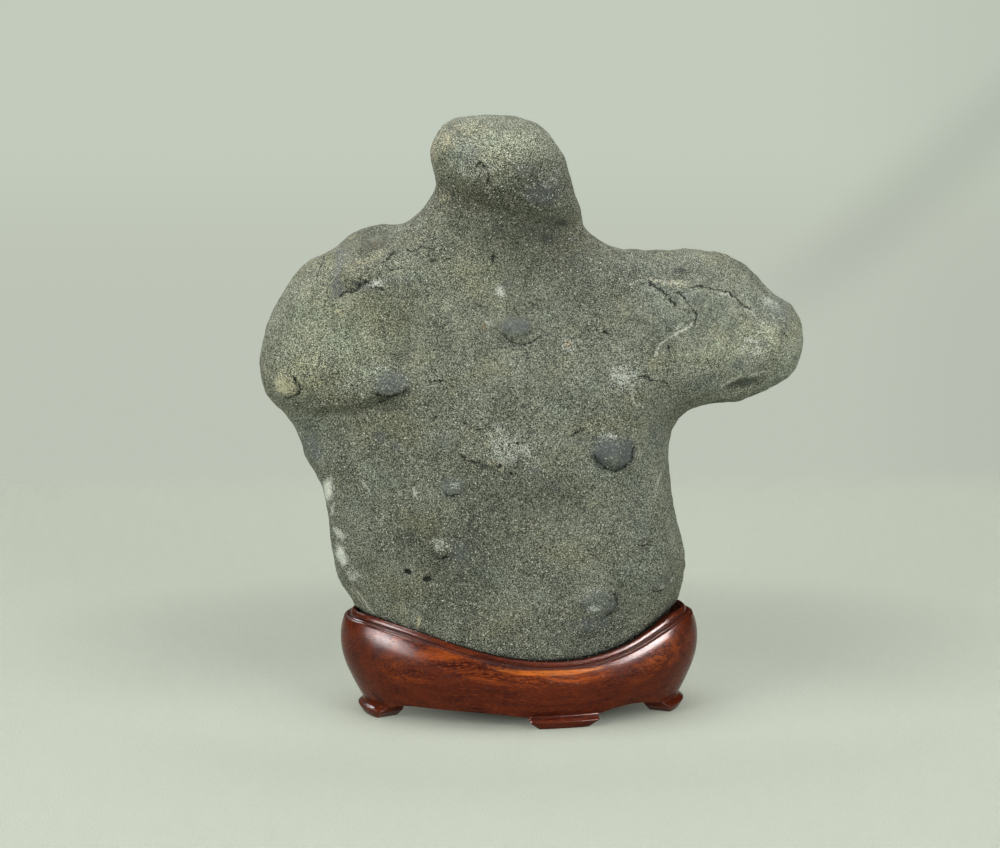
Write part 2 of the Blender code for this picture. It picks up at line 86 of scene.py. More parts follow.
def nearestOn(line, x, z, atOnce=4000000):
    # distance to an open line, signed + on its left, and the share of the way along it, for
    # blocks of points that keep the tables small
    line = np.asarray(line, float)
    start, run = line[:-1], np.diff(line, axis=0)
    lengths = np.linalg.norm(run, axis=1)
    before = np.cumsum(lengths) - lengths
    distance, along = np.empty_like(x), np.empty_like(x)
    for block in np.array_split(np.arange(len(x)), 1 + len(x) * len(run) // atOnce):
        toX, toZ = x[block, None] - start[:, 0], z[block, None] - start[:, 1]
        share = np.clip((toX * run[:, 0] + toZ * run[:, 1]) / lengths**2, 0, 1)
        away = np.hypot(toX - share * run[:, 0], toZ - share * run[:, 1])
        pick = away.argmin(axis=1)
        rows = np.arange(len(block))
        side = np.sign(run[pick, 0] * toZ[rows, pick] - run[pick, 1] * toX[rows, pick])
        distance[block] = side * away[rows, pick]
        along[block] = (before[pick] + share[rows, pick] * lengths[pick]) / lengths.sum()
    return distance, along


def fadedEnds(along, share=0.15):
    # 1 along a line, and a smooth step to 0 over this share of it at each end
    return smoothStep(along / share) * smoothStep((1 - along) / share)


def noiseAt(points, size, seed):
    # smooth noise from about -1 to 1: a random slope at each corner of cubes of this size,
    # faded between the corners by 6t^5 - 15t^4 + 10t^3; the odd numbers scramble the corner
    place = points / size + 37.7 * seed
    corner = np.floor(place)
    t = place - corner
    fade = t**3 * (t * (6 * t - 15) + 10)
    corner = corner.astype(np.int64)
    total = np.zeros(len(points))
    for offset in np.ndindex(2, 2, 2):
        key = (corner + offset) @ np.array((73856093, 19349663, 83492791)) + 7919 * seed
        key = (key ^ (key >> 13)) * 1274126177 & 0xFFFFFFFF
        key ^= key >> 15
        slope = np.stack([key & 1023, key >> 10 & 1023, key >> 20 & 1023], axis=-1) / 511.5 - 1
        weight = np.where(offset, fade, 1 - fade).prod(axis=1)
        total += weight * (slope * (t - offset)).sum(axis=1)
    return 1.6 * total


def pointNormals(points, quads):
    # the sum of the normals of the faces that meet at each point, each as the cross product
    # of its diagonals
    a, b, c, d = (points[quads[:, k]] for k in range(4))
    facing = np.repeat(np.cross(c - a, d - b), 4, axis=0)
    total = np.stack([np.bincount(quads.ravel(), facing[:, k], len(points)) for k in range(3)], axis=-1)
    return total / np.linalg.norm(total, axis=1, keepdims=True)


def placed(name, data):
    # an object for the data, in the scene
    made = bpy.data.objects.new(name, data)
    bpy.context.scene.collection.objects.link(made)
    return made


def makePiece(name, points, faces, attributes=None):
    # a smooth-shaded object at the origin, from points in millimetres
    mesh = bpy.data.meshes.new(name)
    mesh.from_pydata(((points + toOrigin) * metre).tolist(), [], faces)
    mesh.polygons.foreach_set("use_smooth", np.ones(len(mesh.polygons), bool))
    for label, values in (attributes or {}).items():
        kind, field = ("FLOAT", "value") if values.ndim == 1 else ("FLOAT_VECTOR", "vector")
        layer = mesh.attributes.new(label, kind, "POINT")
        layer.data.foreach_set(field, values.ravel().astype(np.float32))
    mesh.validate()
    return placed(name, mesh)


# helpers for the materials

class Wire:
    # one output of a node; arithmetic on it adds Math nodes
    def __init__(self, paint, socket):
        self.paint, self.socket = paint, socket

    def operator(operation, swapped=False):
        def joined(self, other):
            return self.paint.maths(operation, *((other, self) if swapped else (self, other)))
        return joined

    __add__ = __radd__ = operator("ADD")
    __mul__ = __rmul__ = operator("MULTIPLY")
    __sub__, __rsub__ = operator("SUBTRACT"), operator("SUBTRACT", True)
    __truediv__, __rtruediv__ = operator("DIVIDE"), operator("DIVIDE", True)
    __pow__ = operator("POWER")

    def __abs__(self):
        return self.paint.maths("ABSOLUTE", self)


class Paint:
    # the nodes of a new material or of the world, and the ways to add more
    def __init__(self, owner, coordinates="Object"):
        owner.use_nodes = True
        self.owner, self.tree = owner, owner.node_tree
        self.place = self.node("ShaderNodeTexCoord", output=coordinates)

    def node(self, kind, settings=None, sockets=None, output=0):
        # adds a node: its settings first, then the values or links of its sockets
        made = self.tree.nodes.new(kind)
        for name, value in (settings or {}).items():
            setattr(made, name, value)
        for name, value in (sockets or {}).items():
            self.feed(made.inputs[name], value)
        return Wire(self, made.outputs[output])

    def feed(self, socket, value):
        if isinstance(value, Wire):
            self.tree.links.new(value.socket, socket)
        elif isinstance(value, tuple) and len(value) == 3 and socket.type == "RGBA":
            socket.default_value = (*value, 1)
        else:
            socket.default_value = value

    def maths(self, operation, *values):
        return self.node("ShaderNodeMath", {"operation": operation}, dict(enumerate(values)))

    def maximum(self, *values):
        return self.maths("MAXIMUM", *values)

    def vectorMaths(self, operation, sockets, output="Vector"):
        return self.node("ShaderNodeVectorMath", {"operation": operation}, sockets, output)

    def brighter(self, colour, factor):
        return self.vectorMaths("SCALE", {0: colour, "Scale": factor})

    def axis(self, name):
        return self.node("ShaderNodeSeparateXYZ", sockets={"Vector": self.place}, output=name)

    def length(self, vector):
        return self.vectorMaths("LENGTH", {0: vector}, "Value")

    def scaled(self, stretch, place=None):
        # the place with each coordinate multiplied
        return self.vectorMaths("MULTIPLY", {0: place or self.place, 1: stretch})

    def shifted(self, place, amount, distance):
        # the place moved by a colour's noise about its middle
        centred = self.vectorMaths("SUBTRACT", {0: amount, 1: (0.5, 0.5, 0.5)})
        return self.vectorMaths("ADD", {0: place, 1: self.brighter(centred, distance)})

    def noise(self, scale, detail=2.0, roughness=0.5, place=None, output="Fac"):
        sockets = {"Vector": place or self.place, "Scale": scale, "Detail": detail, "Roughness": roughness}
        return self.node("ShaderNodeTexNoise", {}, sockets, output)

    def cells(self, scale, output="Distance"):
        return self.node("ShaderNodeTexVoronoi", {}, {"Vector": self.place, "Scale": scale}, output)

    def cellValues(self, scale):
        # one random value for each cell
        return self.node("ShaderNodeSeparateColor", sockets={"Color": self.cells(scale, "Color")})

    def ramp(self, value, low, high):
        # 0 at low, 1 at high, smooth in between
        sockets = {"Value": value, "From Min": low, "From Max": high}
        return self.node("ShaderNodeMapRange", {"interpolation_type": "SMOOTHSTEP"}, sockets)

    def attribute(self, name, output="Fac"):
        return self.node("ShaderNodeAttribute", {"attribute_name": name}, output=output)

    def mix(self, mask, first, second, blend="MIX"):
        # colours mixed by the mask: 0 gives the first, 1 the second
        settings = {"data_type": "RGBA", "blend_type": blend}
        return self.node("ShaderNodeMix", settings, {0: mask, 6: first, 7: second}, 2)

    def bump(self, height):
        # height in millimetres
        return self.node("ShaderNodeBump", {}, {"Strength": 1.0, "Distance": metre, "Height": height})

    def finish(self, colour, roughness, normal, fixed):
        # links what varies to the shader and sets what is fixed on it
        shader = self.tree.nodes["Principled BSDF"]
        varying = {"Base Color": colour, "Roughness": roughness, "Normal": normal}
        for name, value in {**varying, **fixed}.items():
            self.feed(shader.inputs[name], value)
        return self.owner


# the stone, and the sizes of the stand that it sits in

planTurn = math.radians(3.5)
rimCentre, rimHalves = (-7.4, 1.0), (96.4, 43.0)
waistCentre, waistHalves = (-5.9, 1.0), (94.0, 44.5)

standShape = {
    # height of the rim's top edge along x: it dips like a saddle
    "rimHeights": [
        (-112, 62.3), (-92, 62.7), (-77, 60), (-59, 55.1), (-42, 49.8), (-25, 45.2), (-7, 41.7), (7, 40.3),
        (22, 40.2), (39, 42.6), (57, 48.4), (72, 56), (84.5, 61.5), (98, 61.2),
    ],
    # the rim's moulding from the inside out: offset from the rim's ellipse, height from the
    # top, and how much painted shade darkens its hollows
    "moulding": [
        (0.1, -2.1, 0.8), (0.16, -1.2, 0.5), (0.34, -0.45, 0.1), (0.62, -0.08, 0), (0.95, 0, 0),
        (1.25, -0.18, 0), (1.55, -0.62, 0), (1.8, -1.25, 0), (2, -1.95, 0), (2.12, -2.55, 0),
        (2.06, -2.95, 0.5), (1.85, -3.25, 1), (2, -3.5, 1), (2.4, -3.5, 0.5), (2.75, -3.3, 0.1),
        (3.05, -3.22, 0), (3.35, -3.38, 0), (3.45, -3.65, 0.2), (3.35, -3.9, 0.8), (3.6, -4.15, 0.9),
        (3.95, -4.08, 0.3), (4.2, -4.15, 0),
    ],
    "widerAtEnds": 0.75,
    # from the waist to the arris under the moulding: share of the height, share of the bulge
    "belly": [
        (0, 0), (0.15, 0.4), (0.29, 0.7), (0.43, 0.93), (0.57, 1), (0.7, 0.9), (0.82, 0.67), (0.92, 0.36),
        (1, 0),
    ],
    "bellyRings": 44,
    "bellyBulge": 6.7,
    "fullBellyHeight": 52.5,
    "bulgePower": 1.3,
    "waistHeight": 7.6,
    "undersideHeight": 11.5,
    # place round the plan in degrees, and how far the apron sweeps down before and after it
    "feet": [(92, 14, 14), (188, 9, 8), (283.3, 26, 13), (354, 13, 9)],
    "sweepDrop": 5.2,
    "soleHalfLength": 14.3,
    "ridgeHalfLength": 19.6,
    "footTop": (0.9, 6.6),        # offset from the waist and height, as the ridge's below
    "ridgeHeight": 4.8,
    "ridgeOffset": 3.9,
    "soleOffset": 1.0,
    "footDepth": 12.0,
    "anglesRound": 720,
    "seatRings": 22,
    "seatGap": 0.5,
    "seatSteps": (1.5, 0.75),     # of the grid that finds the stone's underside
}

stoneShape = {
    # the outline seen from the front, as (x, z), anticlockwise from the tip of the right arm
    "outline": [
        (158.5, 226.5), (155.5, 236), (151, 242.5), (139.5, 249), (129, 259.5), (122.5, 265.5), (112, 271),
        (94, 274.5), (79, 274.5), (56.5, 274), (49, 275), (39, 280), (30, 288), (28, 298.5), (23, 312.5),
        (17, 330), (8.5, 342), (-3, 349), (-18, 352), (-33, 352), (-46, 349.5), (-54, 342), (-58, 332.5),
        (-56.5, 322), (-55, 311.5), (-59, 304), (-65.5, 296.5), (-75, 289.5), (-88.5, 288.5), (-103, 283.5),
        (-113.5, 276), (-118.5, 273.5), (-131.5, 266.5), (-143, 252.5), (-152.5, 235), (-156.5, 217.5),
        (-157, 205), (-154.5, 194), (-149.5, 186.5), (-142, 180), (-136, 169), (-132.5, 155.5), (-127, 145),
        (-122, 133), (-120, 119), (-119, 104), (-116, 90), (-112.5, 78.5), (-105.3, 66), (-94, 47),
        (-74, 34.5), (-46, 26), (-15, 20.5), (15, 19), (42, 23), (62, 32), (76, 44), (85.5, 61), (88.8, 72),
        (91, 85.5), (91.5, 96), (89, 105), (85, 118.5), (82.5, 134.5), (81, 149.5), (81, 161.5),
        (83.5, 171), (90.5, 179), (102.5, 183), (119, 184.5), (133, 190), (146, 196.5), (153.5, 203.5),
        (157.5, 213.5),
    ],
    "undersideEnds": ((-105.3, 66.0), (85.5, 61.0)),
    "undersideRounding": 26.0,
    "centre": (-6.0, 200.0),
    "outlineSamples": 600,
    # x, z, depth in front of the middle surface, depth behind it, width of the rounded edge
    "depths": [
        (-95, 60, 43, 43, 96), (-6, 45, 43, 43, 96), (85, 60, 43, 43, 96), (-75, 110, 46, 44, 66),
        (0, 105, 47, 45, 70), (75, 110, 46, 44, 60), (-70, 165, 46, 45, 60), (0, 170, 49, 46, 66),
        (72, 160, 44, 45, 52), (-115, 180, 34, 36, 42), (-128, 215, 38, 36, 42), (-95, 245, 36, 34, 42),
        (-95, 275, 34, 28, 40), (-40, 225, 44, 44, 55), (35, 225, 43, 43, 55), (85, 232, 36, 37, 40),
        (125, 222, 31, 31, 34), (158, 212, 25, 26, 30), (-12, 268, 32, 30, 34), (-8, 290, 29, 30, 32),
        (-10, 318, 37, 32, 36), (-15, 335, 34, 30, 34),
    ],
    "depthBlend": 24.0,
    "shoulderSetback": (-98.0, 282.0, 14.0, 16.0),   # x, z, how far back, spread
    # x, z, half width, half height, height
    "frontSwellings": [
        (13, 288, 14, 13, -5), (-22, 262, 12, 26, 3), (-62, 232, 13, 32, -4), (-120, 214, 24, 17, 4),
        (-122, 252, 16, 12, 2), (48, 246, 16, 34, -3.5), (96, 222, 28, 13, 3), (141, 220, 13, 13, 3.5),
        (120, 197, 11, 6, -4.5), (0, 206, 44, 13, 2.5), (-56, 122, 24, 22, 2), (-71, 114, 9, 10, -3),
        (52, 142, 26, 24, 2.5), (12, 116, 22, 26, -2.5), (76, 86, 13, 16, 3), (-92, 150, 16, 26, -3),
        (-14, 328, 34, 10, 2.5), (-48, 333, 9, 9, 1.5), (-112, 110, 6, 22, -3), (20, 60, 30, 14, 1.5),
    ],
    "backSwellings": [
        (-62, 168, 34, 30, 6), (36, 112, 34, 26, -5), (20, 214, 32, 24, 5), (-20, 118, 24, 30, 3),
        (-110, 226, 20, 18, 4), (104, 232, 22, 13, -4), (-30, 262, 16, 20, -4), (-14, 326, 17, 14, 3),
        (66, 176, 14, 18, 4), (-76, 92, 18, 16, -3), (136, 216, 12, 10, 2.5), (-70, 238, 16, 12, -3.5),
    ],
    # line, height of its left-hand side, width of the step, how far it takes to fall back
    "frontLedges": [
        ([(50, 289), (26, 294), (14, 295), (-2, 297.5), (-19, 302.5), (-34, 309), (-46, 315.5), (-56, 322),
            (-76, 336)], -11, 17, 30),
        ([(-70, 199), (-87, 194), (-107, 188), (-127, 185), (-146, 188)], -5.5, 9, 24),
        ([(-62, 294), (-75, 287.5), (-88, 282.4), (-98, 278), (-106, 274), (-111, 268), (-114, 258)], 7,
            3.2, 24),
        ([(60, 264), (76, 262), (92, 258), (108, 254), (120, 246), (130, 238)], -3.6, 3, 22),
        ([(56, 270), (74, 269), (92, 266), (106, 262)], -2.8, 3, 12),
        ([(-20, 241), (-12, 229), (-2, 232), (4, 238)], 1.6, 2.5, 10),
        ([(62, 190), (70, 201), (84, 198), (92, 188)], 1.8, 5, 12),
    ],
    "backLedges": [
        ([(-98, 232), (-62, 214), (-24, 196), (14, 200), (48, 212)], 5, 8, 30),
        ([(52, 252), (84, 246), (112, 240), (136, 226)], 3.5, 6, 18),
        ([(-46, 308), (-22, 299), (2, 298), (20, 303)], 5, 8, 20),
        ([(-88, 138), (-58, 124), (-36, 96), (-30, 70)], 4, 7, 22),
        ([(18, 168), (44, 150), (72, 146)], -4, 7, 20),
    ],
    # line, depth, width
    "frontGrooves": [
        ([(-116, 280), (-112, 268), (-111, 258), (-107, 249)], 2, 4),
        ([(-107, 256), (-99, 259), (-90, 261), (-84, 260)], 2.5, 3),
        ([(-14, 294), (-19, 282), (-22, 270)], 2, 6),
    ],
    "backGrooves": [
        ([(-18, 286), (-8, 262), (10, 246)], 3.5, 6), ([(-104, 186), (-84, 172), (-66, 166)], 3, 5),
    ],
    # x, z, half width, half height, height
    "frontNodules": [
        (45.7, 164.2, 12, 11, 4.6), (-15.5, 165, 10.5, 12.5, 5.4), (-84, 204.2, 17, 8, 3.2),
        (-141, 202, 8, 8.5, 2.2), (38, 75, 12.5, 12, 3.8), (-11.4, 236, 8, 5.5, 1.4),
        (-54, 110.5, 6.5, 6, 1.8), (-46, 145.4, 6.5, 6, 1.5), (74.5, 84.4, 7.5, 7, 1.8),
        (-48.7, 174.2, 6.5, 5.5, 1.4), (-26.6, 316.5, 5, 3.5, 1.4),
    ],
    "backNodules": [
        (52, 188, 12, 10, 3), (-22, 150, 10, 12, 2.8), (-104, 204, 10, 8, 2.4), (28, 92, 11, 9, 2.6),
    ],
    "noduleSunk": 1.2,
    # x, z, half width, half height
    "pits": [(-72, 95, 1.9, 1.3), (-60.5, 90.5, 2.2, 1.5), (-27.7, 324.6, 2, 1.1)],
    "pitDepth": 2.5,
    "seatedBy": 0.8,
    "cellsAcross": 216,      # of the grid on each of the two sheets
    # size and height of each layer of unevenness
    "unevenness": [(34.0, 1.1), (15.0, 0.70), (7.0, 0.44), (3.6, 0.26)],
}


def swellings(table, x, z):
    # the sum of bells: height * exp(-(dx / half width)^2 - (dz / half height)^2)
    total = np.zeros_like(x)
    for atX, atZ, halfWidth, halfHeight, height in table:
        total += height * np.exp(-((x - atX) / halfWidth) ** 2 - ((z - atZ) / halfHeight) ** 2)
    return total


def ledges(table, x, z):
    # a smooth step across each line, which fades as exp(-(distance / reach)^2) and at the ends
    total = np.zeros_like(x)
    for line, height, width, reach in table:
        across, along = nearestOn(line, x, z)
        step = smoothStep(across / width + 0.5) * np.exp(-(np.clip(across, 0, None) / reach) ** 2)
        total += height * fadedEnds(along) * step
    return total


def grooves(table, x, z):
    # along each line a dip of depth * exp(-(distance / width)^2), which fades at the ends
    total = np.zeros_like(x)
    for line, depth, width in table:
        across, along = nearestOn(line, x, z)
        total -= depth * fadedEnds(along, 0.2) * np.exp(-(across / width) ** 2)
    return total


def depthsAt(shape, x, z):
    # the listed depths, blended with bell weights of the distance to each
    table = np.array(shape["depths"], float)
    away = (x[:, None] - table[:, 0]) ** 2 + (z[:, None] - table[:, 1]) ** 2
    weight = np.exp(-away / (2 * shape["depthBlend"] ** 2)) + 1e-9
    weight /= weight.sum(axis=1, keepdims=True)
    return (weight @ table[:, 2:]).T


def middleSurface(shape, x, z):
    # a plane turned like the stand's plan, with one shoulder set back by a bell
    atX, atZ, setback, spread = shape["shoulderSetback"]
    shoulder = setback * np.exp(-((x - atX) / (2 * spread)) ** 2 - ((z - atZ) / spread) ** 2)
    return rimCentre[1] + (x - rimCentre[0]) * math.tan(planTurn) + shoulder


def stoneSides(shape, outline, x, z):
    # y of the front and the back: the middle surface minus or plus (depth + relief) * swell,
    # where swell is a quarter circle of the distance to the sides times one of the height
    # above the underside
    first, last = (np.hypot(*(outline - end).T).argmin() for end in shape["undersideEnds"])
    sides = np.vstack([outline[last:], outline[:first + 1]])
    below = np.array([(0, -60), (0, -20)])
    sides = np.vstack([sides[0] + below, sides, sides[-1] + below[::-1]])
    underside = outline[first:last + 1]
    front, back, edge = depthsAt(shape, x, z)
    swell = rounded(np.abs(nearestOn(sides, x, z)[0]) / edge)
    swell *= rounded((z - np.interp(x, underside[:, 0], underside[:, 1])) / shape["undersideRounding"])
    both = []
    for sign, depth, name in ((-1, front, "front"), (1, back, "back")):
        relief = swellings(shape[name + "Swellings"], x, z) + ledges(shape[name + "Ledges"], x, z)
        relief += grooves(shape[name + "Grooves"], x, z)
        both.append(middleSurface(shape, x, z) + sign * (depth + relief) * swell)
    return both


def discGrid(cells):
    # a square grid wrapped on a disc: the share of the way round, from 0 at the right going
    # anticlockwise, and the share of the way out, which is the larger of |a| and |b|
    side = np.linspace(-1, 1, cells + 1)
    a, b = np.meshgrid(side, side)
    out = np.maximum(abs(a), abs(b))
    safe = np.where(out == 0, 1, out)
    wide = abs(a) >= abs(b)
    angle = np.where(wide, np.where(a < 0, math.pi, 0) + math.pi / 4 * b / safe * np.sign(a + 1e-12),
                     np.where(b < 0, -1, 1) * math.pi / 2 - math.pi / 4 * a / safe * np.sign(b + 1e-12))
    return (angle / (2 * math.pi)) % 1, out


def stoneGrid(cells):
    # two sheets of square cells that share their edge: for each point the share of the way
    # round and the angle from the middle of the front to the middle of the back
    turn, out = discGrid(cells)
    front = np.arange(turn.size).reshape(turn.shape)
    back = front.copy()
    back[1:-1, 1:-1] = turn.size + np.arange((cells - 1) ** 2).reshape(cells - 1, cells - 1)
    inner = (slice(1, -1), slice(1, -1))
    turns = np.r_[turn.ravel(), turn[inner].ravel()]
    tilts = np.r_[out.ravel(), 2 - out[inner].ravel()] * math.pi / 2
    faces = [np.stack([front[:-1, :-1], front[:-1, 1:], front[1:, 1:], front[1:, :-1]], axis=-1),
             np.stack([back[:-1, :-1], back[1:, :-1], back[1:, 1:], back[:-1, 1:]], axis=-1)]
    return turns, tilts, np.concatenate([sheet.reshape(-1, 4) for sheet in faces])


def nodulesOn(shape, points, normals, tilts):
    # each nodule is a cap: (height + sunk) * sqrt(1 - e^2 / spread) - sunk, with e the distance
    # from its middle in half sizes over the local tangent plane, and its foot is softened
    total = np.zeros(len(points))
    for name, isBack in (("front", False), ("back", True)):
        rows = np.flatnonzero((tilts > math.pi / 2) == isBack)
        for number, (x, z, halfWidth, halfHeight, height) in enumerate(shape[name + "Nodules"]):
            near = rows[np.hypot(points[rows, 0] - x, points[rows, 2] - z) < 2.5 * halfWidth + 6]
            middle = near[np.hypot(points[near, 0] - x, points[near, 2] - z).argmin()]
            offset = points[near] - points[middle]
            offset -= (offset @ normals[middle])[:, None] * normals[middle]
            width = np.hypot(offset[:, 0], offset[:, 1])
            away = np.hypot(width / halfWidth, offset[:, 2] / halfHeight)
            away *= 1 + 0.10 * noiseAt(points[near], 7.0, 40 + number)
            sunk = height * shape["noduleSunk"]
            spread = 1 / (1 - (sunk / (height + sunk)) ** 2)
            cap = (height + sunk) * np.sqrt(np.clip(1 - away**2 / spread, 0, 1)) - sunk
            total[near] = np.maximum(total[near], 0.5 * (cap + np.sqrt(cap**2 + 0.12)))
    return total


def stoneRelief(shape, points, normals, tilts):
    # layers of noise, nodules and pits of depth * exp(-distance^4 / 2), as a height along the
    # normal, which is less where the stone is hidden in its seat
    relief = np.zeros(len(points))
    for number, (size, height) in enumerate(shape["unevenness"]):
        relief += height * noiseAt(points, size, number + 1)
    relief += nodulesOn(shape, points, normals, tilts)
    for x, z, halfWidth, halfHeight in shape["pits"]:
        away = np.hypot((points[:, 0] - x) / halfWidth, (points[:, 2] - z) / halfHeight)
        relief -= np.where(tilts < math.pi / 2, shape["pitDepth"] * np.exp(-away**4 / 2), 0)
    return relief - shape["seatedBy"] * belowRimShare(points[:, 0], points[:, 2])


stoneMarks = {
    # spots of each finish: x, z, half width, half height, turn in degrees, strength
    "bluish": {
        "front": [
            (41.5, 166, 9, 8, -30, 1.1), (51, 163.5, 8, 9.5, 0, 1.1), (-80, 204.5, 10, 7, 12, 1),
            (-12.5, 236.2, 6.5, 4.2, 0, 0.95), (-6.5, 236.4, 5, 4.6, -25, 0.9),
            (-98, 258.8, 6.5, 3.6, 15, 0.5), (-88, 259.5, 5, 3, 0, 0.45), (38, 76, 10.5, 9, 0, 0.85),
            (46, 72.5, 3.6, 4.4, -20, 0.9), (35.5, 63, 11, 6, 0, 0.7), (-49.8, 172, 7.5, 7, 0, 0.45),
            (-46, 145.5, 7.5, 7, 0, 0.65), (75.5, 83, 8.5, 8, 0, 0.45), (-14, 259, 4, 5, 0, 0.5),
            (-41.5, 108, 6, 9, 0, 0.5), (-37, 333, 9, 7, 0, 0.55), (-4, 323, 9, 6, 0, 0.55),
            (5, 310, 11, 8, 0, 0.65), (-86.3, 173, 3, 4, 0, 0.6), (-77.7, 167.2, 4, 4.5, 0, 0.5),
            (26.6, 170.2, 5, 4.5, 0, 0.5), (-127, 163, 6, 9, 20, 0.8), (143.7, 237.7, 13, 9, -30, 0.55),
            (122, 211, 15, 7, 8, 0.5), (98, 201, 14, 7, 0, 0.45), (-110.4, 257, 4, 5, 0, 0.9),
            (-110.5, 268, 3.2, 13, -8, 0.6), (0, 155.2, 5, 3, 0, 0.6), (13, 145, 6, 3, 0, 0.45),
            (-47.4, 240.5, 2.5, 5, 20, 0.5), (92, 250, 9, 5, -10, 0.4), (62, 128, 10, 22, 0, 0.35),
            (-76, 262, 12, 4, 0, 0.4), (70, 188, 16, 9, 20, 0.4), (73, 168, 8, 16, 0, 0.5),
        ],
        "back": [
            (52, 188, 12.5, 10, 0, 0.9), (-22, 150, 10, 12, 0, 0.7), (-104, 204, 11, 8, 0, 0.7),
            (28, 92, 11, 9, 0, 0.8), (-60, 100, 8, 7, 0, 0.5), (80, 150, 7, 9, 20, 0.5),
            (-20, 310, 9, 6, 0, 0.5), (110, 240, 12, 6, -15, 0.5), (-120, 250, 8, 6, 0, 0.5),
            (0, 60, 20, 10, 0, 0.4),
        ],
    },
    "whitish": {
        "front": [
            (50.4, 206.8, 8, 8.5, 0, 0.85), (-15, 166, 10, 10, 0, 0.8), (-5.5, 166, 5, 7, 0, 0.7),
            (-20, 177, 7, 4, 20, 0.5), (-52.3, 111.8, 6.5, 4, -25, 0.75), (-19, 255, 3.5, 5, 20, 0.75),
            (20.2, 225.6, 5.5, 5, 0, 0.75), (127, 219, 12, 10, 0, 0.5), (124.5, 225.6, 4, 1.5, -35, 0.8),
            (136, 245, 7, 3.2, -25, 0.7), (123.5, 216, 6, 4, 0, 0.4), (113, 200, 7, 1.6, 35, 0.75),
            (-118.2, 138, 4, 9.5, -12, 1.3), (-115.6, 127, 1.6, 6, -12, 0.9),
            (-111.5, 112.4, 5.5, 3.4, -20, 1.1), (-110.5, 99, 4.5, 8.5, 14, 1.2), (-104, 88, 5, 6, 20, 0.9),
            (35, 72.5, 4, 3, 15, 0.75), (76, 79.5, 3, 2.2, 0, 0.8), (83, 82, 1.5, 1.6, 0, 1),
            (-43.7, 147.3, 5, 3, 25, 0.75), (43, 173.5, 9, 1.8, 0, 0.55), (10, 318, 9, 6, 0, 0.55),
            (-36, 324, 16, 6, 0, 0.5), (-15, 160.5, 8, 7, 0, 0.65), (-112, 201, 20, 6, 5, 0.35),
            (-84, 212, 9, 2.5, 0, 0.5), (-88, 260.5, 6, 2.2, 10, 0.85), (43, 173.8, 8, 1.2, 0, 0.9),
            (-58, 176, 3, 3, 0, 0.4), (-47.5, 174, 2, 2, 0, 0.7), (24, 282, 4, 3, 0, 0.4),
            (54, 259, 5, 2, 0, 0.5), (27, 289, 1.6, 3, 0, 0.5),
        ],
        "back": [
            (-60, 205, 9, 8, 0, 0.7), (30, 130, 7, 9, 0, 0.7), (80, 90, 3, 14, 0, 0.9),
            (-100, 120, 4, 12, 10, 0.9), (100, 215, 12, 7, 0, 0.5), (-10, 270, 5, 7, 0, 0.6),
            (10, 318, 12, 7, 0, 0.4), (-118, 212, 12, 8, 0, 0.45),
        ],
    },
    "cream": {
        "front": [
            # the cream spots on the head's top left are partly painted light from above, partly the head's
            # tan colour
            (-141, 202.6, 7, 8, 20, 0.95), (-136.5, 200.5, 4, 4, 0, 0.9), (-50, 339, 8, 7, 25, 0.6),
            (-56, 333, 4, 7, 0, 0.6), (-37, 346, 14, 4, 0, 0.45), (-66, 63, 1.3, 5.2, -12, 1.1),
            (-18.7, 160, 7.5, 6, 0, 0.65), (-51, 306, 5, 6, 0, 0.5), (80, 258.5, 15, 2.6, -10, 0.5),
            (66.5, 213, 4, 4, 0, 0.5), (-108.7, 243.9, 5, 3, 0, 0.45), (-95, 272, 15, 3, 25, 0.45),
            (-125, 208, 16, 9, 20, 0.3), (-100, 74, 10, 2, -52, 0.55), (-103, 66, 8, 1.5, -52, 0.5),
            (96, 228, 22, 8, 20, 0.3), (20.2, 226, 2.5, 2.5, 0, 0.8),
        ],
        "back": [
            (120, 222, 8, 7, 0, 0.8), (0, 338, 12, 7, 0, 0.5), (-50, 60, 10, 6, 0, 0.5),
            (60, 264, 20, 4, 0, 0.4), (-90, 276, 14, 4, 20, 0.4),
        ],
    },
    "rusty": {
        "front": [
            (19.8, 226, 2.6, 2.3, 0, 0.45), (-18.5, 158.5, 4, 3.5, 0, 0.22), (-92, 279, 9, 3, 25, 0.14),
            (-28, 236, 2.5, 2, 0, 0.4),
        ],
        "back": [(10, 180, 3, 2.5, 0, 0.8), (-40, 240, 5, 3, 0, 0.4)],
    },
    # dark: painted shade under nodules, ledges and the arm, and in hollows, grooves and cracks
    "dark": {
        "front": [
            (-97, 258.6, 3.6, 1.8, 20, 0.5), (37.5, 160, 4.5, 6.5, 35, 0.75),
            (56.5, 163, 2.2, 6.5, 0, 0.65), (47.5, 154.5, 8, 2.6, 5, 0.75), (-74.5, 199.5, 6, 3, 10, 0.6),
            (44, 68, 6, 3, 20, 0.6), (121, 199.2, 11, 3.6, 10, 0.9), (-71, 116, 8, 6, 0, 0.45),
            (15.9, 292, 4.5, 2.6, 0, 0.8), (8, 282.5, 5.5, 4, 0, 0.6), (23.4, 282.3, 3, 3.5, 0, 0.6),
            (82.9, 264.6, 5.5, 2.4, 0, 0.6), (132, 224, 4, 3, 0, 0.5), (-28.9, 157.2, 5.5, 2.4, 0, 0.7),
            (35, 56, 12, 5, 0, 0.4), (-80, 190, 18, 3, 5, 0.4), (47, 155, 11, 3, 10, 0.6),
            (-128, 176, 6, 7, 0, 0.4), (-110.5, 266, 2.6, 13, -6, 0.3), (64, 105, 7, 2, 0, 0.5),
        ],
        "back": [
            (-62, 210, 10, 4, 15, 0.7), (60, 248, 12, 3, 10, 0.6), (-40, 105, 6, 12, 20, 0.4),
            (10, 262, 9, 5, 30, 0.5),
        ],
    },
}

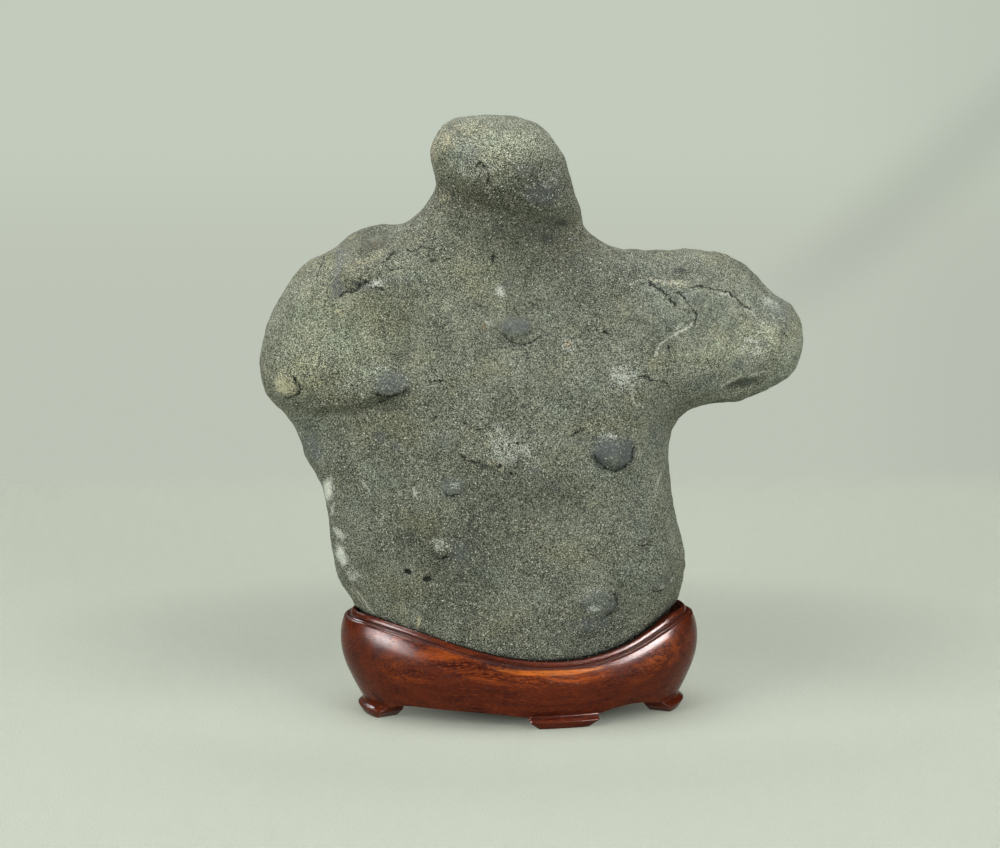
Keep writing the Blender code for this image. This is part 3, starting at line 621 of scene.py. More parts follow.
# sums of bells: x, z, half width, half height, change
stoneTones = {
    # tone: brightness changes, partly the stone's own and partly painted light and shade: lighter on the
    # head's top, the arm and the shoulders, darker under the head, down the neck, under the left lobe and
    # towards the bottom
    "tone": {
        "front": [
            (-12, 338, 46, 12, 0.39), (-32, 330, 18, 10, 0.14), (11, 316, 17, 14, -0.26),
            (-22, 307, 30, 8, -0.28), (-16, 322, 26, 9, -0.16), (-18, 312, 36, 6, -0.22),
            (-15, 342, 34, 8, 0.12), (-128, 213, 18, 11, 0.12), (79, 211, 15, 13, 0.13),
            (139, 212, 10, 12, 0.12), (-44, 146, 12, 9, -0.14), (-46, 90, 20, 13, -0.14),
            (12, 270, 18, 12, -0.14), (-112, 232, 28, 26, 0.13), (114, 226, 30, 22, 0.34),
            (86, 263, 26, 7, -0.15), (148, 222, 14, 22, 0.1), (-12, 60, 60, 18, -0.18),
            (-110, 262, 7, 16, -0.1), (-80, 203, 14, 8, -0.1), (143, 238, 14, 10, -0.1),
            (-2, 144, 24, 11, -0.15), (-112, 188, 30, 7, -0.1), (-141, 203, 9, 9, 0.35),
            (-8, 284, 32, 12, -0.22), (-36, 297, 22, 10, -0.2), (-44, 305, 12, 7, -0.2),
            (-4, 290, 32, 9, -0.14), (-106, 172, 15, 13, -0.18), (-48, 102, 22, 20, -0.16),
            (6, 134, 20, 12, -0.1), (92, 214, 34, 10, 0.16), (-112, 224, 28, 18, 0.15),
            (-12, 180, 38, 16, 0.07), (0, 240, 44, 26, 0.04), (-95, 281, 18, 7, -0.26),
            (20, 262, 34, 26, -0.2), (112, 232, 46, 26, 0.37), (144, 218, 18, 24, 0.36),
            (104, 196, 34, 10, 0.22), (-132, 218, 20, 30, 0.26), (-70, 152, 42, 34, -0.08),
            (-48, 112, 32, 16, -0.26), (-4, 138, 46, 13, -0.1), (40, 62, 24, 14, -0.12),
            (-100, 192, 36, 6, -0.32), (72, 136, 18, 38, 0.32), (-40, 258, 11, 30, 0.12),
            (-8, 254, 7, 30, -0.08), (-24, 246, 6, 26, 0.08), (-96, 232, 14, 16, 0.08),
        ],
        "back": [
            (-10, 288, 32, 12, -0.22), (100, 232, 40, 22, 0.16), (-60, 160, 46, 34, -0.1),
            (-10, 334, 36, 10, 0.1),
        ],
    },
    "warmth": {
        "front": [
            (-104, 244, 50, 44, 0.8), (-30, 318, 44, 30, 0.8), (-16, 268, 34, 20, 0.8),
            (-104, 190, 40, 16, 0.5), (-60, 140, 50, 30, 0.3),
        ],
        "back": [(60, 240, 50, 34, 0.5), (-40, 130, 44, 40, 0.4)],
    },
    # where the grains are coarser (more) or finer and softer (less)
    "coarseness": {
        "front": [
            (-8, 316, 38, 15, 1.2), (-112, 202, 32, 12, 0.8), (-14, 166, 15, 14, 0.8),
            (0, 52, 90, 26, 0.42), (50, 206, 12, 12, 0.3), (-95, 281, 20, 7, -0.6), (0, 290, 30, 8, -0.4),
            (-9, 346, 44, 6, -0.35), (-120, 238, 30, 26, -0.36), (94, 238, 52, 32, -0.72),
            (-30, 240, 50, 34, -0.36), (-12, 235.5, 12, 5, -0.7),
        ],
        "back": [
            (0, 318, 40, 20, 0.8), (-118, 210, 34, 18, 0.6), (120, 215, 30, 18, 0.4), (0, 52, 90, 26, 0.4),
            (20, 220, 50, 30, -0.25),
        ],
    },
}

stoneLines = {
    # cracks darkened with painted shade, and pale veins, each as strength, half width and places (x, z)
    "crack": {
        "front": [
            (1, 0.55, [(64.5, 260.5), (66.3, 259.1), (69.3, 256.6), (74, 253.7), (79.6, 247.5), (82, 245)]),
            (0.75, 0.35, [(78, 254.2), (83.2, 252.5), (86.6, 249.9), (88.4, 246.6), (93.1, 240.6),
                (92.3, 237.2), (91, 234)]),
            (0.6, 0.35, [(84, 256.6), (96.4, 255.9), (106.1, 254.2), (111.7, 252.4), (116.1, 248.5),
                (121.6, 244.3), (128, 239.8)]),
            (0.7, 0.5, [(114, 250.6), (116.1, 248.5), (119, 246.2), (122.5, 243.6)]),
            (0.45, 0.3, [(-117.3, 273.5), (-119.4, 270.2), (-120.8, 266.9), (-121.5, 264), (-122.2, 258)]),
            (0.8, 0.6, [(-110, 251.5), (-108.3, 252.9), (-104.9, 255.4), (-101, 256.7), (-97, 257.5)]),
            (0.7, 0.5, [(-100, 262), (-96, 262.5), (-92, 260.5), (-90.5, 257.5)]),
            (0.6, 0.5, [(-92.5, 258.4), (-88, 257.8), (-83.5, 257.2), (-80, 258.2)]),
            (0.75, 0.45, [(-88, 270.5), (-86.3, 270.7), (-83.2, 271.4), (-81, 274.4), (-77.7, 276.3),
                (-76, 276.6)]),
            (0.6, 0.35, [(-74.5, 277.8), (-73.2, 277.4), (-68, 277.1), (-62.5, 279.6), (-57.7, 278.6),
                (-54, 278.2)]),
            (0.5, 0.35, [(-60, 271.8), (-58.2, 272.1), (-54.8, 273), (-49.7, 273.6), (-45, 272.8)]),
            (0.5, 0.35, [(-83, 266.6), (-81.3, 267.1), (-75.7, 268.2), (-71.2, 268), (-67, 268.8)]),
            (0.8, 0.45, [(-22.9, 275.6), (-22.7, 274.8), (-21.9, 273.2), (-22.7, 271.1), (-23.2, 270)]),
            (0.5, 0.35, [(-27, 239), (-25, 237.8), (-18.3, 232.6), (-12.6, 227.7), (-6.4, 225.5),
                (-0.1, 227.5), (4.1, 231.1), (7, 234)]),
            (0.45, 0.35, [(-6, 250), (-1, 248.5), (4, 245.8)]),
            (0.5, 0.4, [(13.5, 259.5), (15.5, 257.5), (17.5, 255.5)]),
            (1, 0.75, [(-33, 325.6), (-31, 327), (-28.5, 327.4), (-26.4, 325.6)]),
            (0.5, 0.4, [(-25.8, 325), (-24.6, 321.5), (-24.9, 318), (-26, 315)]),
            (0.6, 0.4, [(56.5, 206.4), (58.4, 206.6), (64, 207), (68.5, 203.7), (73.8, 204.3), (76.2, 202),
                (77.6, 199.3), (80, 196)]),
            (0.65, 0.4, [(98.2, 217), (99.1, 215.2), (101.1, 211.5), (102, 209)]),
            (0.6, 0.45, [(76, 225.5), (76.5, 223.9), (77.9, 219.3), (77.6, 215)]),
            (0.6, 0.4, [(142.5, 229.5), (144.2, 228.1), (147, 225.5), (148, 224.4)]),
            (0.6, 0.45, [(-44, 166), (-41.9, 164.8), (-36.6, 160.5), (-30.3, 159.5), (-27, 157)]),
            (0.6, 0.4, [(18, 171.6), (19.9, 172.9), (23.1, 175.5), (27.1, 177.1), (29, 178)]),
            (0.4, 0.35, [(-41, 183.6), (-39.7, 182.8), (-34.5, 180), (-29, 177)]),
            (0.6, 0.45, [(-59, 205.6), (-56.8, 206), (-51.4, 206.2), (-46.6, 203.2), (-44, 200.5)]),
            (0.9, 0.5, [(-137.5, 209.5), (-135.3, 208.3), (-132.5, 204.3), (-132.2, 200.5), (-134, 196.5),
                (-139, 194.4), (-143, 195.5)]),
            (0.9, 0.45, [(34, 165), (35.5, 160), (39.5, 156), (45, 153.3), (51, 154.3), (56, 158.5),
                (58, 164), (57, 169)]),
            (0.7, 0.45, [(-94, 201), (-88, 198.5), (-80, 197), (-73, 199.5), (-69.5, 204)]),
            (0.8, 0.5, [(44, 82), (48.5, 78), (49.5, 72.5), (46, 67.5), (40, 65)]),
            (0.6, 0.4, [(69, 80), (72, 77), (78, 77.5)]), (0.6, 0.4, [(-52, 143), (-47, 140), (-41, 142)]),
            (0.6, 0.45, [(-59, 108), (-54, 104.5), (-47, 106)]),
            (0.5, 0.45, [(-92, 191.5), (-84, 193.5), (-78, 196.5)]),
            (0.5, 0.45, [(60, 107), (61.5, 107.3), (65.1, 106.8), (70.9, 108)]),
        ],
        "back": [
            (0.8, 0.5, [(-90, 226), (-70, 217), (-52, 206), (-30, 199)]),
            (0.7, 0.5, [(-20, 290), (-12, 270), (2, 256), (14, 246)]),
            (0.9, 0.5, [(60, 250), (78, 247), (90, 243)]),
            (0.6, 0.4, [(-84, 134), (-66, 127), (-52, 112), (-44, 96)]),
            (0.6, 0.4, [(24, 166), (38, 154), (54, 148), (70, 147)]),
            (0.6, 0.4, [(-40, 306), (-22, 300), (-4, 300)]),
            (0.7, 0.4, [(100, 236), (116, 228), (126, 216)]),
            (0.7, 0.4, [(-110, 184), (-90, 174), (-72, 168)]), (0.5, 0.4, [(0, 120), (10, 104), (28, 100)]),
            (0.4, 0.35, [(-60, 60), (-52, 80), (-56, 92)]),
        ],
    },
    "vein": {
        "front": [
            (1, 0.55, [(54.6, 203.5), (55, 199.5), (55.9, 195.5), (57.5, 192.4), (59, 191.1),
                (62.2, 190.2)]),
            (0.5, 0.4, [(57.2, 203.5), (57.4, 199.5), (58.3, 196)]),
            (0.55, 0.45, [(93.5, 238), (92, 237.1), (87.4, 233.8), (79.6, 229.7), (72.5, 225.6),
                (69.2, 217.7), (68.4, 214)]),
            (0.8, 0.5, [(110, 198.4), (111.5, 199.1), (115.6, 200.8), (119.3, 204.1), (121, 206)]),
            (0.9, 0.5, [(124, 202), (127.1, 204.2), (131.5, 205.3), (137.8, 205.5), (140, 206.8)]),
            (0.8, 0.6, [(-19.8, 259), (-18, 256), (-17.4, 253)]),
            (0.7, 0.5, [(106.1, 253.2), (111.7, 251.2), (117.1, 247)]),
            (0.4, 0.5, [(121.6, 243.4), (126, 240.2), (130, 237.4)]),
            (0.8, 0.5, [(-68.4, 146), (-67.5, 143.8), (-65.2, 139.3), (-64.6, 138)]),
            (0.45, 0.5, [(76, 148), (74.8, 146.1), (71.6, 141.8), (69.8, 136.1), (72.5, 132)]),
            (0.5, 0.5, [(-98.5, 148), (-95, 143), (-92, 138)]),
            (0.6, 0.5, [(-104, 78.5), (-98.2, 71.1), (-92.4, 62.9)]),
            (0.5, 0.5, [(-107.2, 78.5), (-102.4, 70.1), (-97, 64)]),
            (0.5, 0.6, [(-28, 240), (-25.5, 238), (-21, 235.4)]),
            (0.35, 0.6, [(62, 260.6), (70, 259.4), (84, 258), (92, 255)]),
            (0.4, 0.4, [(36, 197), (40, 198), (44, 199)]), (0.4, 0.4, [(74, 205.3), (68.5, 205)]),
        ],
        "back": [
            (0.7, 0.5, [(40, 120), (52, 112), (66, 110)]), (0.7, 0.5, [(-70, 190), (-62, 182), (-58, 172)]),
            (0.6, 0.5, [(0, 240), (12, 236), (22, 226)]), (0.5, 0.5, [(100, 190), (116, 194), (130, 204)]),
        ],
    },
}

# small holes, made black with painted shade: x, z, radius
stoneHoles = {
    "front": [
        (-54.9, 185.6, 0.9), (40.2, 232.4, 1), (42, 231.4, 0.8), (23.6, 176.2, 0.7), (-96.1, 182.2, 0.8),
        (10.8, 148, 0.6), (-72.4, 94.9, 1.5), (-71, 94.3, 1.4), (-61.6, 90.3, 1.7), (-59.6, 90.8, 1.7),
        (-18.7, 159, 1.1), (-12.5, 153.5, 1.1), (-23.3, 157.3, 0.7), (-19.5, 154.6, 0.6), (-9, 171, 0.7),
        (-6, 160, 0.6), (-30, 178.6, 0.6), (62, 98, 0.6), (-48, 318, 0.6), (-56, 223, 0.6), (24, 152, 0.6),
        (-98.5, 258.9, 0.8), (-94.6, 260.6, 0.8),
    ],
    "back": [
        (-40, 190, 1.2), (60, 120, 0.9), (20, 270, 0.9), (-80, 160, 0.8), (100, 224, 0.8), (-10, 100, 1.2),
        (-7, 99, 0.9), (30, 206, 0.7), (-70, 260, 0.8), (-24, 322, 1),
    ],
}


def spotField(spots, x, z, reach=1.45, fade=1.1):
    # the largest of the spots' strength * smooth step of (reach - distance) / fade, with the
    # distance in half sizes
    field = np.zeros_like(x)
    for atX, atZ, halfWidth, halfHeight, turn, strength in spots:
        cos, sin = math.cos(math.radians(turn)), math.sin(math.radians(turn))
        along, across = (x - atX) * cos + (z - atZ) * sin, (z - atZ) * cos - (x - atX) * sin
        away = np.hypot(along / halfWidth, across / halfHeight)
        field = np.maximum(field, strength * smoothStep((reach - away) / fade))
    return field


def lineField(lines, x, z, reach=3.0):
    # signed distance to the nearest line in its half widths, and its strength near it, which
    # falls as exp(-(distance / reach)^2) and at its ends
    distance, near, nearest = np.full_like(x, 9.0), np.zeros_like(x), np.full_like(x, 9.0)
    for strength, halfWidth, line in lines:
        across, along = nearestOn(line, x, z)
        closer = abs(across) < nearest
        nearest = np.where(closer, abs(across), nearest)
        distance = np.where(closer, across / halfWidth, distance)
        near = np.where(closer, strength * fadedEnds(along) * np.exp(-(across / reach) ** 2), near)
    return distance, near


def holeField(holes, x, z):
    # the way from the middle of the nearest hole, in its radii
    table = np.array(holes)
    toX, toZ = x[:, None] - table[:, 0], z[:, None] - table[:, 1]
    pick = np.hypot(toX, toZ).argmin(axis=1)
    rows = np.arange(len(x))
    return np.stack([toX[rows, pick], toZ[rows, pick], 0 * x], axis=-1) / table[pick, 2:]


def rimHeight(x):
    # the height of the stand's rim over each x, level past the table's ends
    table = standShape["rimHeights"]
    return smoothThrough(table, np.clip(x, table[0][0], table[-1][0]))


def belowRimShare(x, z, over=0.8, fade=1.6):
    # 1 below the stand's rim, 0 from a little above it
    return smoothStep((rimHeight(x) + over - z) / fade)


def stoneAttributes(points, tilts):
    # the marks' fields at each point: the front's on the front sheet and a little past its
    # edge, and the back's behind; the tones turn into each other across the edge
    x, z = points[:, 0], points[:, 2]
    degrees = np.degrees(tilts)
    isBack = tilts > math.pi / 2
    pastEdge = 1.5 * smoothStep((degrees - 96) / 30)
    turned = smoothStep((degrees - 80) / 20)

    def bothSides(field, tables):
        return [field(tables[side], x, z) for side in ("front", "back")]

    attributes = {"aboveRim": z - rimHeight(x)}
    for name, spots in stoneMarks.items():
        front, back = bothSides(spotField, spots)
        attributes[name] = np.where(isBack, np.maximum(front - pastEdge, back), front)
    for name, bells in stoneTones.items():
        front, back = bothSides(swellings, bells)
        attributes[name] = front + (back - front) * turned
    for name, lines in stoneLines.items():
        for label, front, back in zip(("Distance", "Near"), *bothSides(lineField, lines)):
            attributes[name + label] = np.where(isBack, back, front)
    front, back = bothSides(holeField, stoneHoles)
    attributes["toHole"] = np.where(isBack[:, None], back, front)
    return attributes


stoneFinish = {
    "darkGrain": (0.036, 0.041, 0.032),
    "lightGrain": (0.376, 0.392, 0.312),
    "crystal": (0.70, 0.70, 0.61),
    "yellowTint": (0.60, 0.56, 0.42),
    "blueTint": (0.455, 0.495, 0.52),
    "warm": (1.0, 0.99, 0.87),
    "bluish": (0.084, 0.095, 0.103),
    "whitish": (0.60, 0.62, 0.55),
    "cream": (0.62, 0.57, 0.38),
    "rusty": (0.36, 0.17, 0.05),
    # the colour of the dark marks' painted shade
    "dark": (0.030, 0.037, 0.032),
    "vein": (0.54, 0.54, 0.46),
    # near-black painted shade in the seat's gap, in cracks and in holes
    "shadeInHollows": (0.010, 0.011, 0.009),
    "grainSize": 2900.0,        # grains per metre
    "contrast": 1.07,
    "paleShare": 0.36,
    "shadeAboveRim": 0.30,
    # how strongly a near-black painted shadow fills the gap where the stone sits in the rim
    "seatGapShade": 0.85,
    # how fully the stains and the dark marks' painted shade cover
    "stainAndShadeCover": {"dark": 0.70, "bluish": 0.88, "cream": 0.70, "whitish": 0.75, "rusty": 0.65},
    "sparkle": 0.70,
}


def stonePaint(finish):
    paint = Paint(bpy.data.materials.new("stone"))
    size = finish["grainSize"]
    grains, crystals = paint.cellValues(size), paint.cellValues(size * 0.62)
    fine = paint.noise(size * 0.70, 2.0, 0.65)
    coarse = paint.noise(size * 0.24, 3.0, 0.65)
    patches = paint.noise(26.0, 3.0, 0.55)
    mottle = paint.noise(120.0, 3.0, 0.6)
    blotches = paint.noise(55.0, 2.0, 0.55)
    stretched = paint.shifted(paint.scaled((0.55, 1.0, 1.0)), paint.noise(60.0, output="Color"), 0.012)
    flecks = paint.noise(480.0, 2.0, 0.6, stretched)
    tints = paint.noise(24.0, 4.0, 0.60, paint.scaled((1.0, 1.0, 1.3)))
    ragged = paint.noise(230.0, 4.0, 0.65) - 0.5
    marks = {name: paint.attribute(name) for name in stoneMarks}

    # salt and pepper: mostly dark grains with fewer pale ones, stronger where they are coarse
    coarser = paint.attribute("coarseness")
    contrast = finish["contrast"] + coarser
    pepper = (grains ** 1.4 - 0.42) * 1.5 + 2.6 * (fine - 0.5) + 0.20 * (coarse - 0.5) * contrast * contrast
    pepper = pepper * contrast + (crystals ** 3.0 - 0.25) * (0.30 + 1.1 * paint.maximum(coarser, 0.0))
    pepper = finish["paleShare"] + pepper + 0.50 * (patches - 0.5) + 0.50 * (blotches - 0.5)
    pepper = pepper + 0.55 * (mottle - 0.5)
    pepper = pepper + 0.20 * paint.ramp(flecks, 0.60, 0.72) - 0.24 * paint.ramp(flecks, 0.40, 0.29)
    pepper = paint.maximum(pepper, 0.0) ** 1.4
    colour = paint.mix(pepper, finish["darkGrain"], finish["lightGrain"])

    # broad tints
    colour = paint.mix(paint.ramp(tints, 0.49, 0.66) * 0.34, colour, finish["yellowTint"], "OVERLAY")
    colour = paint.mix(paint.ramp(tints, 0.49, 0.33) * 0.42, colour, finish["blueTint"], "OVERLAY")
    colour = paint.mix(paint.attribute("warmth"), colour, finish["warm"], "MULTIPLY")
    # the tone bells brighten or darken the colour: partly the stone's own tone, partly painted light and
    # shade
    colour = paint.brighter(colour, 1.0 + paint.attribute("tone"))
    # painted shade: up to 30% darker over the last 6 mm above the stand's rim, and a near-black painted
    # shadow in the gap along the rim
    aboveRim = paint.attribute("aboveRim")
    colour = paint.brighter(colour, 1.0 - finish["shadeAboveRim"] * paint.ramp(aboveRim, 6.0, 0.0))
    seat = paint.ramp(aboveRim + 1.5 * ragged, 0.9, -0.3)
    colour = paint.mix(seat * finish["seatGapShade"], colour, finish["shadeInHollows"])

    # marks: the stains and the dark marks' painted shade lie over the grains, and the pale ones are more
    # and more white grains
    stainsAndShade = {name: paint.ramp(marks[name] + 0.6 * ragged, 0.08, 0.82)
             for name in ("bluish", "dark", "rusty")}
    amount = finish["stainAndShadeCover"]
    colour = paint.mix(stainsAndShade["dark"] * amount["dark"], colour, finish["dark"])
    cover = fine - 0.35 * grains + 0.9 * paint.maximum(marks["bluish"] - 0.9, 0.0)
    cover = stainsAndShade["bluish"] * paint.ramp(cover, 0.05, 0.50)
    slate = paint.brighter(finish["bluish"], 0.55 + 0.9 * fine)
    colour = paint.mix(cover * amount["bluish"], colour, slate)
    for name in ("cream", "whitish"):
        cover = 0.40 * marks[name] + 0.75 * ragged * paint.ramp(marks[name], 0.0, 0.3)
        cover = paint.ramp(0.40 * grains + 0.60 * fine + cover, 0.68, 0.94)
        shown = paint.brighter(finish[name], 1.0 + 1.3 * paint.maximum(marks[name] - 0.95, 0.0))
        colour = paint.mix(cover * paint.ramp(marks[name], 0.02, 0.25) * amount[name], colour, shown)
    colour = paint.mix(stainsAndShade["rusty"] * amount["rusty"], colour, finish["rusty"])
    sparkle = paint.ramp(crystals + 0.040 * coarser + 0.03 * (coarse - 0.5), 0.980, 0.990)
    colour = paint.mix(sparkle * finish["sparkle"], colour, finish["crystal"])

    # cracks filled with near-black painted shade, and veins, their edges made ragged and their length
    # broken up
    wobble = (paint.noise(300.0, 2.0, 0.5) - 0.5) * 9.0 + (paint.noise(900.0) - 0.5) * 6.0
    broken = paint.noise(190.0, 3.0, 0.7)
    lines = {}
    for name in stoneLines:
        near = paint.attribute(name + "Near")
        away = abs(paint.attribute(name + "Distance") + wobble)
        kept = paint.ramp(1.2 * near + 1.4 * (broken - 0.5), 0.15, 0.70)
        lines[name] = paint.ramp(away, 1.55, 0.50) * kept
    colour = paint.mix(lines["vein"] * (0.35 + 0.5 * fine), colour, finish["vein"])
    colour = paint.mix(lines["crack"] * 0.88, colour, finish["shadeInHollows"])

    # holes and pinholes, filled with near-black painted shade
    away = paint.length(paint.attribute("toHole", "Vector"))
    pinholes = paint.ramp(paint.cells(105.0), 0.070, 0.045)
    holes = paint.maximum(paint.ramp(away + 1.2 * ragged, 1.15, 0.75), pinholes * 0.8)
    colour = paint.mix(holes * 0.9, colour, finish["shadeInHollows"])

    # the height of it all in millimetres, rougher where the grains are coarse
    height = 0.10 * (grains - 0.5) * contrast + 0.26 * (fine - 0.5) * contrast + 0.40 * (coarse - 0.5)
    height = height + 0.55 * ragged + 1.2 * (mottle - 0.5)
    height = height - 1.1 * lines["crack"] - 0.9 * holes + 0.12 * lines["vein"]
    height = height + 0.8 * (marks["dark"] + marks["whitish"] + marks["bluish"]) * ragged
    height = height + 0.35 * paint.ramp(flecks, 0.25, 0.75)
    roughness = 0.90 - 0.20 * sparkle - 0.12 * stainsAndShade["bluish"]
    normal = paint.bump(height * (0.80 + 0.40 * coarser))
    return paint.finish(colour, roughness, normal, {"Specular IOR Level": 0.03})


outline = roundCurve(stoneShape["outline"], stoneShape["outlineSamples"])
turns, tilts, stoneFaces = stoneGrid(stoneShape["cellsAcross"])
shares = np.linspace(0, 1, len(outline) + 1)
closed = np.vstack([outline, outline[:1]])
edge = np.stack([np.interp(turns, shares, closed[:, k]) for k in (0, 1)], axis=-1)
spread = np.sin(tilts)[:, None]
plane = np.array(stoneShape["centre"]) * (1 - spread) + edge * spread
frontY, backY = stoneSides(stoneShape, outline, plane[:, 0], plane[:, 1])
onEdge = np.isclose(spread[:, 0], 1)
stoneY = np.where(tilts > math.pi / 2, backY, frontY)
stoneY = np.where(onEdge, middleSurface(stoneShape, plane[:, 0], plane[:, 1]), stoneY)
stonePoints = np.stack([plane[:, 0], stoneY, plane[:, 1]], axis=-1)
stoneNormals = pointNormals(stonePoints, stoneFaces)
stoneHeights = stoneRelief(stoneShape, stonePoints, stoneNormals, tilts)
raised = stonePoints + stoneNormals * stoneHeights[:, None]
stone = makePiece("stone_surface", raised, stoneFaces.tolist(), stoneAttributes(stonePoints, tilts))
stone.data.materials.append(stonePaint(stoneFinish))
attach(stone, "root")
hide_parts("stone")
print("stage: stone made,", 2 * len(stoneFaces), "triangles")


# the stand

def planPoints(angle, halfLength, halfDepth, rise):
    # an ellipse at each eccentric angle, turned by the plan's turn; its centre goes from the
    # waist's to the rim's as the rise goes from 0 to 1
    along, across = halfLength * np.cos(angle), halfDepth * np.sin(angle)
    cos, sin = math.cos(planTurn), math.sin(planTurn)
    centreX, centreY = (w * (1 - rise) + r * rise for w, r in zip(waistCentre, rimCentre))
    return np.stack([centreX + along * cos - across * sin, centreY + along * sin + across * cos], axis=-1)


def footFields(shape, angles):
    # at each angle the distance from the nearest foot's middle, and the apron's lower edge,
    # which drops to each foot as exp(-distance past its ridge / sweep)
    fine = np.linspace(0, 2 * math.pi, 1441)
    steps = np.linalg.norm(np.diff(planPoints(fine, *waistHalves, 0.0), axis=0), axis=1)
    length = np.r_[0, np.cumsum(steps)]
    here = np.interp(angles, fine, length)
    nearest, drop = np.full(len(angles), np.inf), np.zeros(len(angles))
    for place, before, after in shape["feet"]:
        away = here - np.interp(math.radians(place), fine, length)
        away = (away + length[-1] / 2) % length[-1] - length[-1] / 2
        beyond = np.clip(abs(away) - shape["ridgeHalfLength"], 0, None)
        drop = np.maximum(drop, shape["sweepDrop"] * np.exp(-beyond / np.where(away < 0, before, after)))
        nearest = np.minimum(nearest, abs(away))
    return nearest, shape["undersideHeight"] - drop


def ringAt(angles, halves, rise, height):
    places = planPoints(angles, *halves, rise)
    return np.column_stack([places, np.broadcast_to(height, len(angles))])


def softened(rings, width):
    # each ring becomes three: moved a little towards the one before, pulled in, and moved
    # towards the one after, which rounds the edge that runs along it
    towards = np.diff(rings, axis=0)
    gaps = np.linalg.norm(towards, axis=2, keepdims=True)
    towards = towards / np.maximum(gaps, 1e-9)
    step = np.minimum(width, 0.4 * gaps)
    made = [rings[:1]]
    for k in range(1, len(rings) - 1):
        before, after = -towards[k - 1] * step[k - 1], towards[k] * step[k]
        made.append(np.stack([rings[k] + before, rings[k] + 0.28 * (before + after), rings[k] + after]))
    return np.concatenate(made + [rings[-1:]])


def seatHeights(shape, stoneForm, stoneOutline, x, y):
    # the height at which the stone's underside begins over each place, less the gap
    stepX, stepZ = shape["seatSteps"]
    gridX, gridZ = np.arange(-112, 98, stepX), np.arange(17.0, 68.0, stepZ)
    allX, allZ = (field.ravel() for field in np.meshgrid(gridX, gridZ, indexing="ij"))
    front, back = stoneSides(stoneForm, stoneOutline, allX, allZ)
    columns = np.clip(np.rint((x - gridX[0]) / stepX).astype(int), 0, len(gridX) - 1)
    front, back = (side.reshape(len(gridX), -1)[columns] for side in (front, back))
    inside = (front - shape["seatGap"] < y[:, None]) & (y[:, None] < back + shape["seatGap"])
    inside &= back - front > 1.0
    return np.where(inside.any(axis=1), gridZ[inside.argmax(axis=1)] - shape["seatGap"], np.inf)


def standRings(shape, angles):
    # rings from the middle of the seat out over the rim, down the belly to the feet, and
    # inwards underneath; with the rim's height at each angle, and each ring's share of
    # painted shade on the seat and in the moulding's hollows
    rim, waist = np.array(rimHalves)[:, None], np.array(waistHalves)[:, None]
    wider = 1 + shape["widerAtEnds"] * np.cos(angles) ** 2
    top = smoothThrough(shape["rimHeights"], planPoints(angles, *rimHalves, 1.0)[:, 0])

    mouldRings = [ringAt(angles, rim + offset * wider, 1.0, top + height)
                  for offset, height, _ in shape["moulding"]]

    seat = []
    middleHeight = smoothThrough(shape["rimHeights"], np.zeros(1))[0] + 8
    for share in np.linspace(0, 1, shape["seatRings"], endpoint=False)[1:] ** 0.7:
        ring = ringAt(angles, (rim + shape["moulding"][0][0] * wider) * share, 1.0,
                      middleHeight + (top + shape["moulding"][0][1] - middleHeight) * share)
        under = seatHeights(shape, stoneShape, outline, ring[:, 0], ring[:, 1])
        ring[:, 2] = np.minimum(ring[:, 2], under)
        seat.append(ring)

    nearest, apron = footFields(shape, angles)
    atFoot = smoothStep((26.0 - nearest) / 6.0)
    low = shape["waistHeight"] * atFoot + (apron + 0.6) * (1 - atFoot)
    arrisOffset, arrisDrop, _ = shape["moulding"][-1]
    arris = top + arrisDrop
    tall = ((arris - shape["waistHeight"]) / shape["fullBellyHeight"]) ** shape["bulgePower"]
    belly = []
    for share in np.linspace(1, 0, shape["bellyRings"] + 1)[1:]:
        bulge = shape["bellyBulge"] * smoothThrough(shape["belly"], np.array([share]))[0] * tall
        halves = waist + (rim + arrisOffset * wider - waist) * share + bulge
        halves = halves + 0.6 * (1 - atFoot) * (1 - share)
        belly.append(ringAt(angles, halves, share, low + (arris - low) * share))

    # the foot's upper face and its ridge, which between the feet draw together at the apron's edge
    inside = smoothStep(shape["ridgeHalfLength"] + 1.1 - nearest)
    foot = []
    ridge = shape["ridgeOffset"], shape["ridgeHeight"]
    for (out, up), (outBetween, upBetween) in ((shape["footTop"], (0.5, 0.3)), (ridge, (0.2, 0.1))):
        offset = outBetween + (out - outBetween) * inside
        foot.append(ringAt(angles, waist + offset, 0.0, (apron + upBetween) * (1 - inside) + up * inside))

    # the sole, which rises to the ridge's tips, then the foot's inner side and the plate's underside
    soleEnd, ridgeEnd = shape["soleHalfLength"], shape["ridgeHalfLength"]
    slant = np.clip((nearest - soleEnd) / (ridgeEnd - soleEnd), 0, 1)
    sole = (shape["ridgeHeight"] - 0.6) * slant * inside
    offset = (shape["soleOffset"] + (shape["ridgeOffset"] - shape["soleOffset"]) * 0.7 * slant) * inside
    underside = shape["undersideHeight"]
    foot.append(ringAt(angles, waist + offset - 0.8 * (1 - inside), 0.0, sole + apron * (1 - inside)))
    foot.append(ringAt(angles, waist - shape["footDepth"], 0.0, sole + underside * (1 - inside)))
    foot.append(ringAt(angles, waist - shape["footDepth"] - 1.0, 0.0, underside))
    foot.append(ringAt(angles, waist * 0.02, 0.0, underside))

    lower = softened(np.array([belly[-2], belly[-1]] + foot), 0.45)[1:]
    upper = np.array(seat + mouldRings + belly[:-2])
    rings = np.concatenate([upper, belly[-2][None], lower])
    creaseShade = np.zeros(len(rings))
    # painted shade on the seat under the stone, then in the moulding's hollows
    creaseShade[:len(seat)] = 0.8
    creaseShade[len(seat):len(seat) + len(mouldRings)] = [dark for _, _, dark in shape["moulding"]]
    return rings, top, creaseShade


def loftFaces(ringCount, around):
    # quads between following rings, closed round
    ring, k = np.meshgrid(np.arange(ringCount - 1) * around, np.arange(around), indexing="ij")
    following = (k + 1) % around
    quads = [ring + k, ring + around + k, ring + around + following, ring + following]
    return np.stack(quads, axis=-1).reshape(-1, 4)


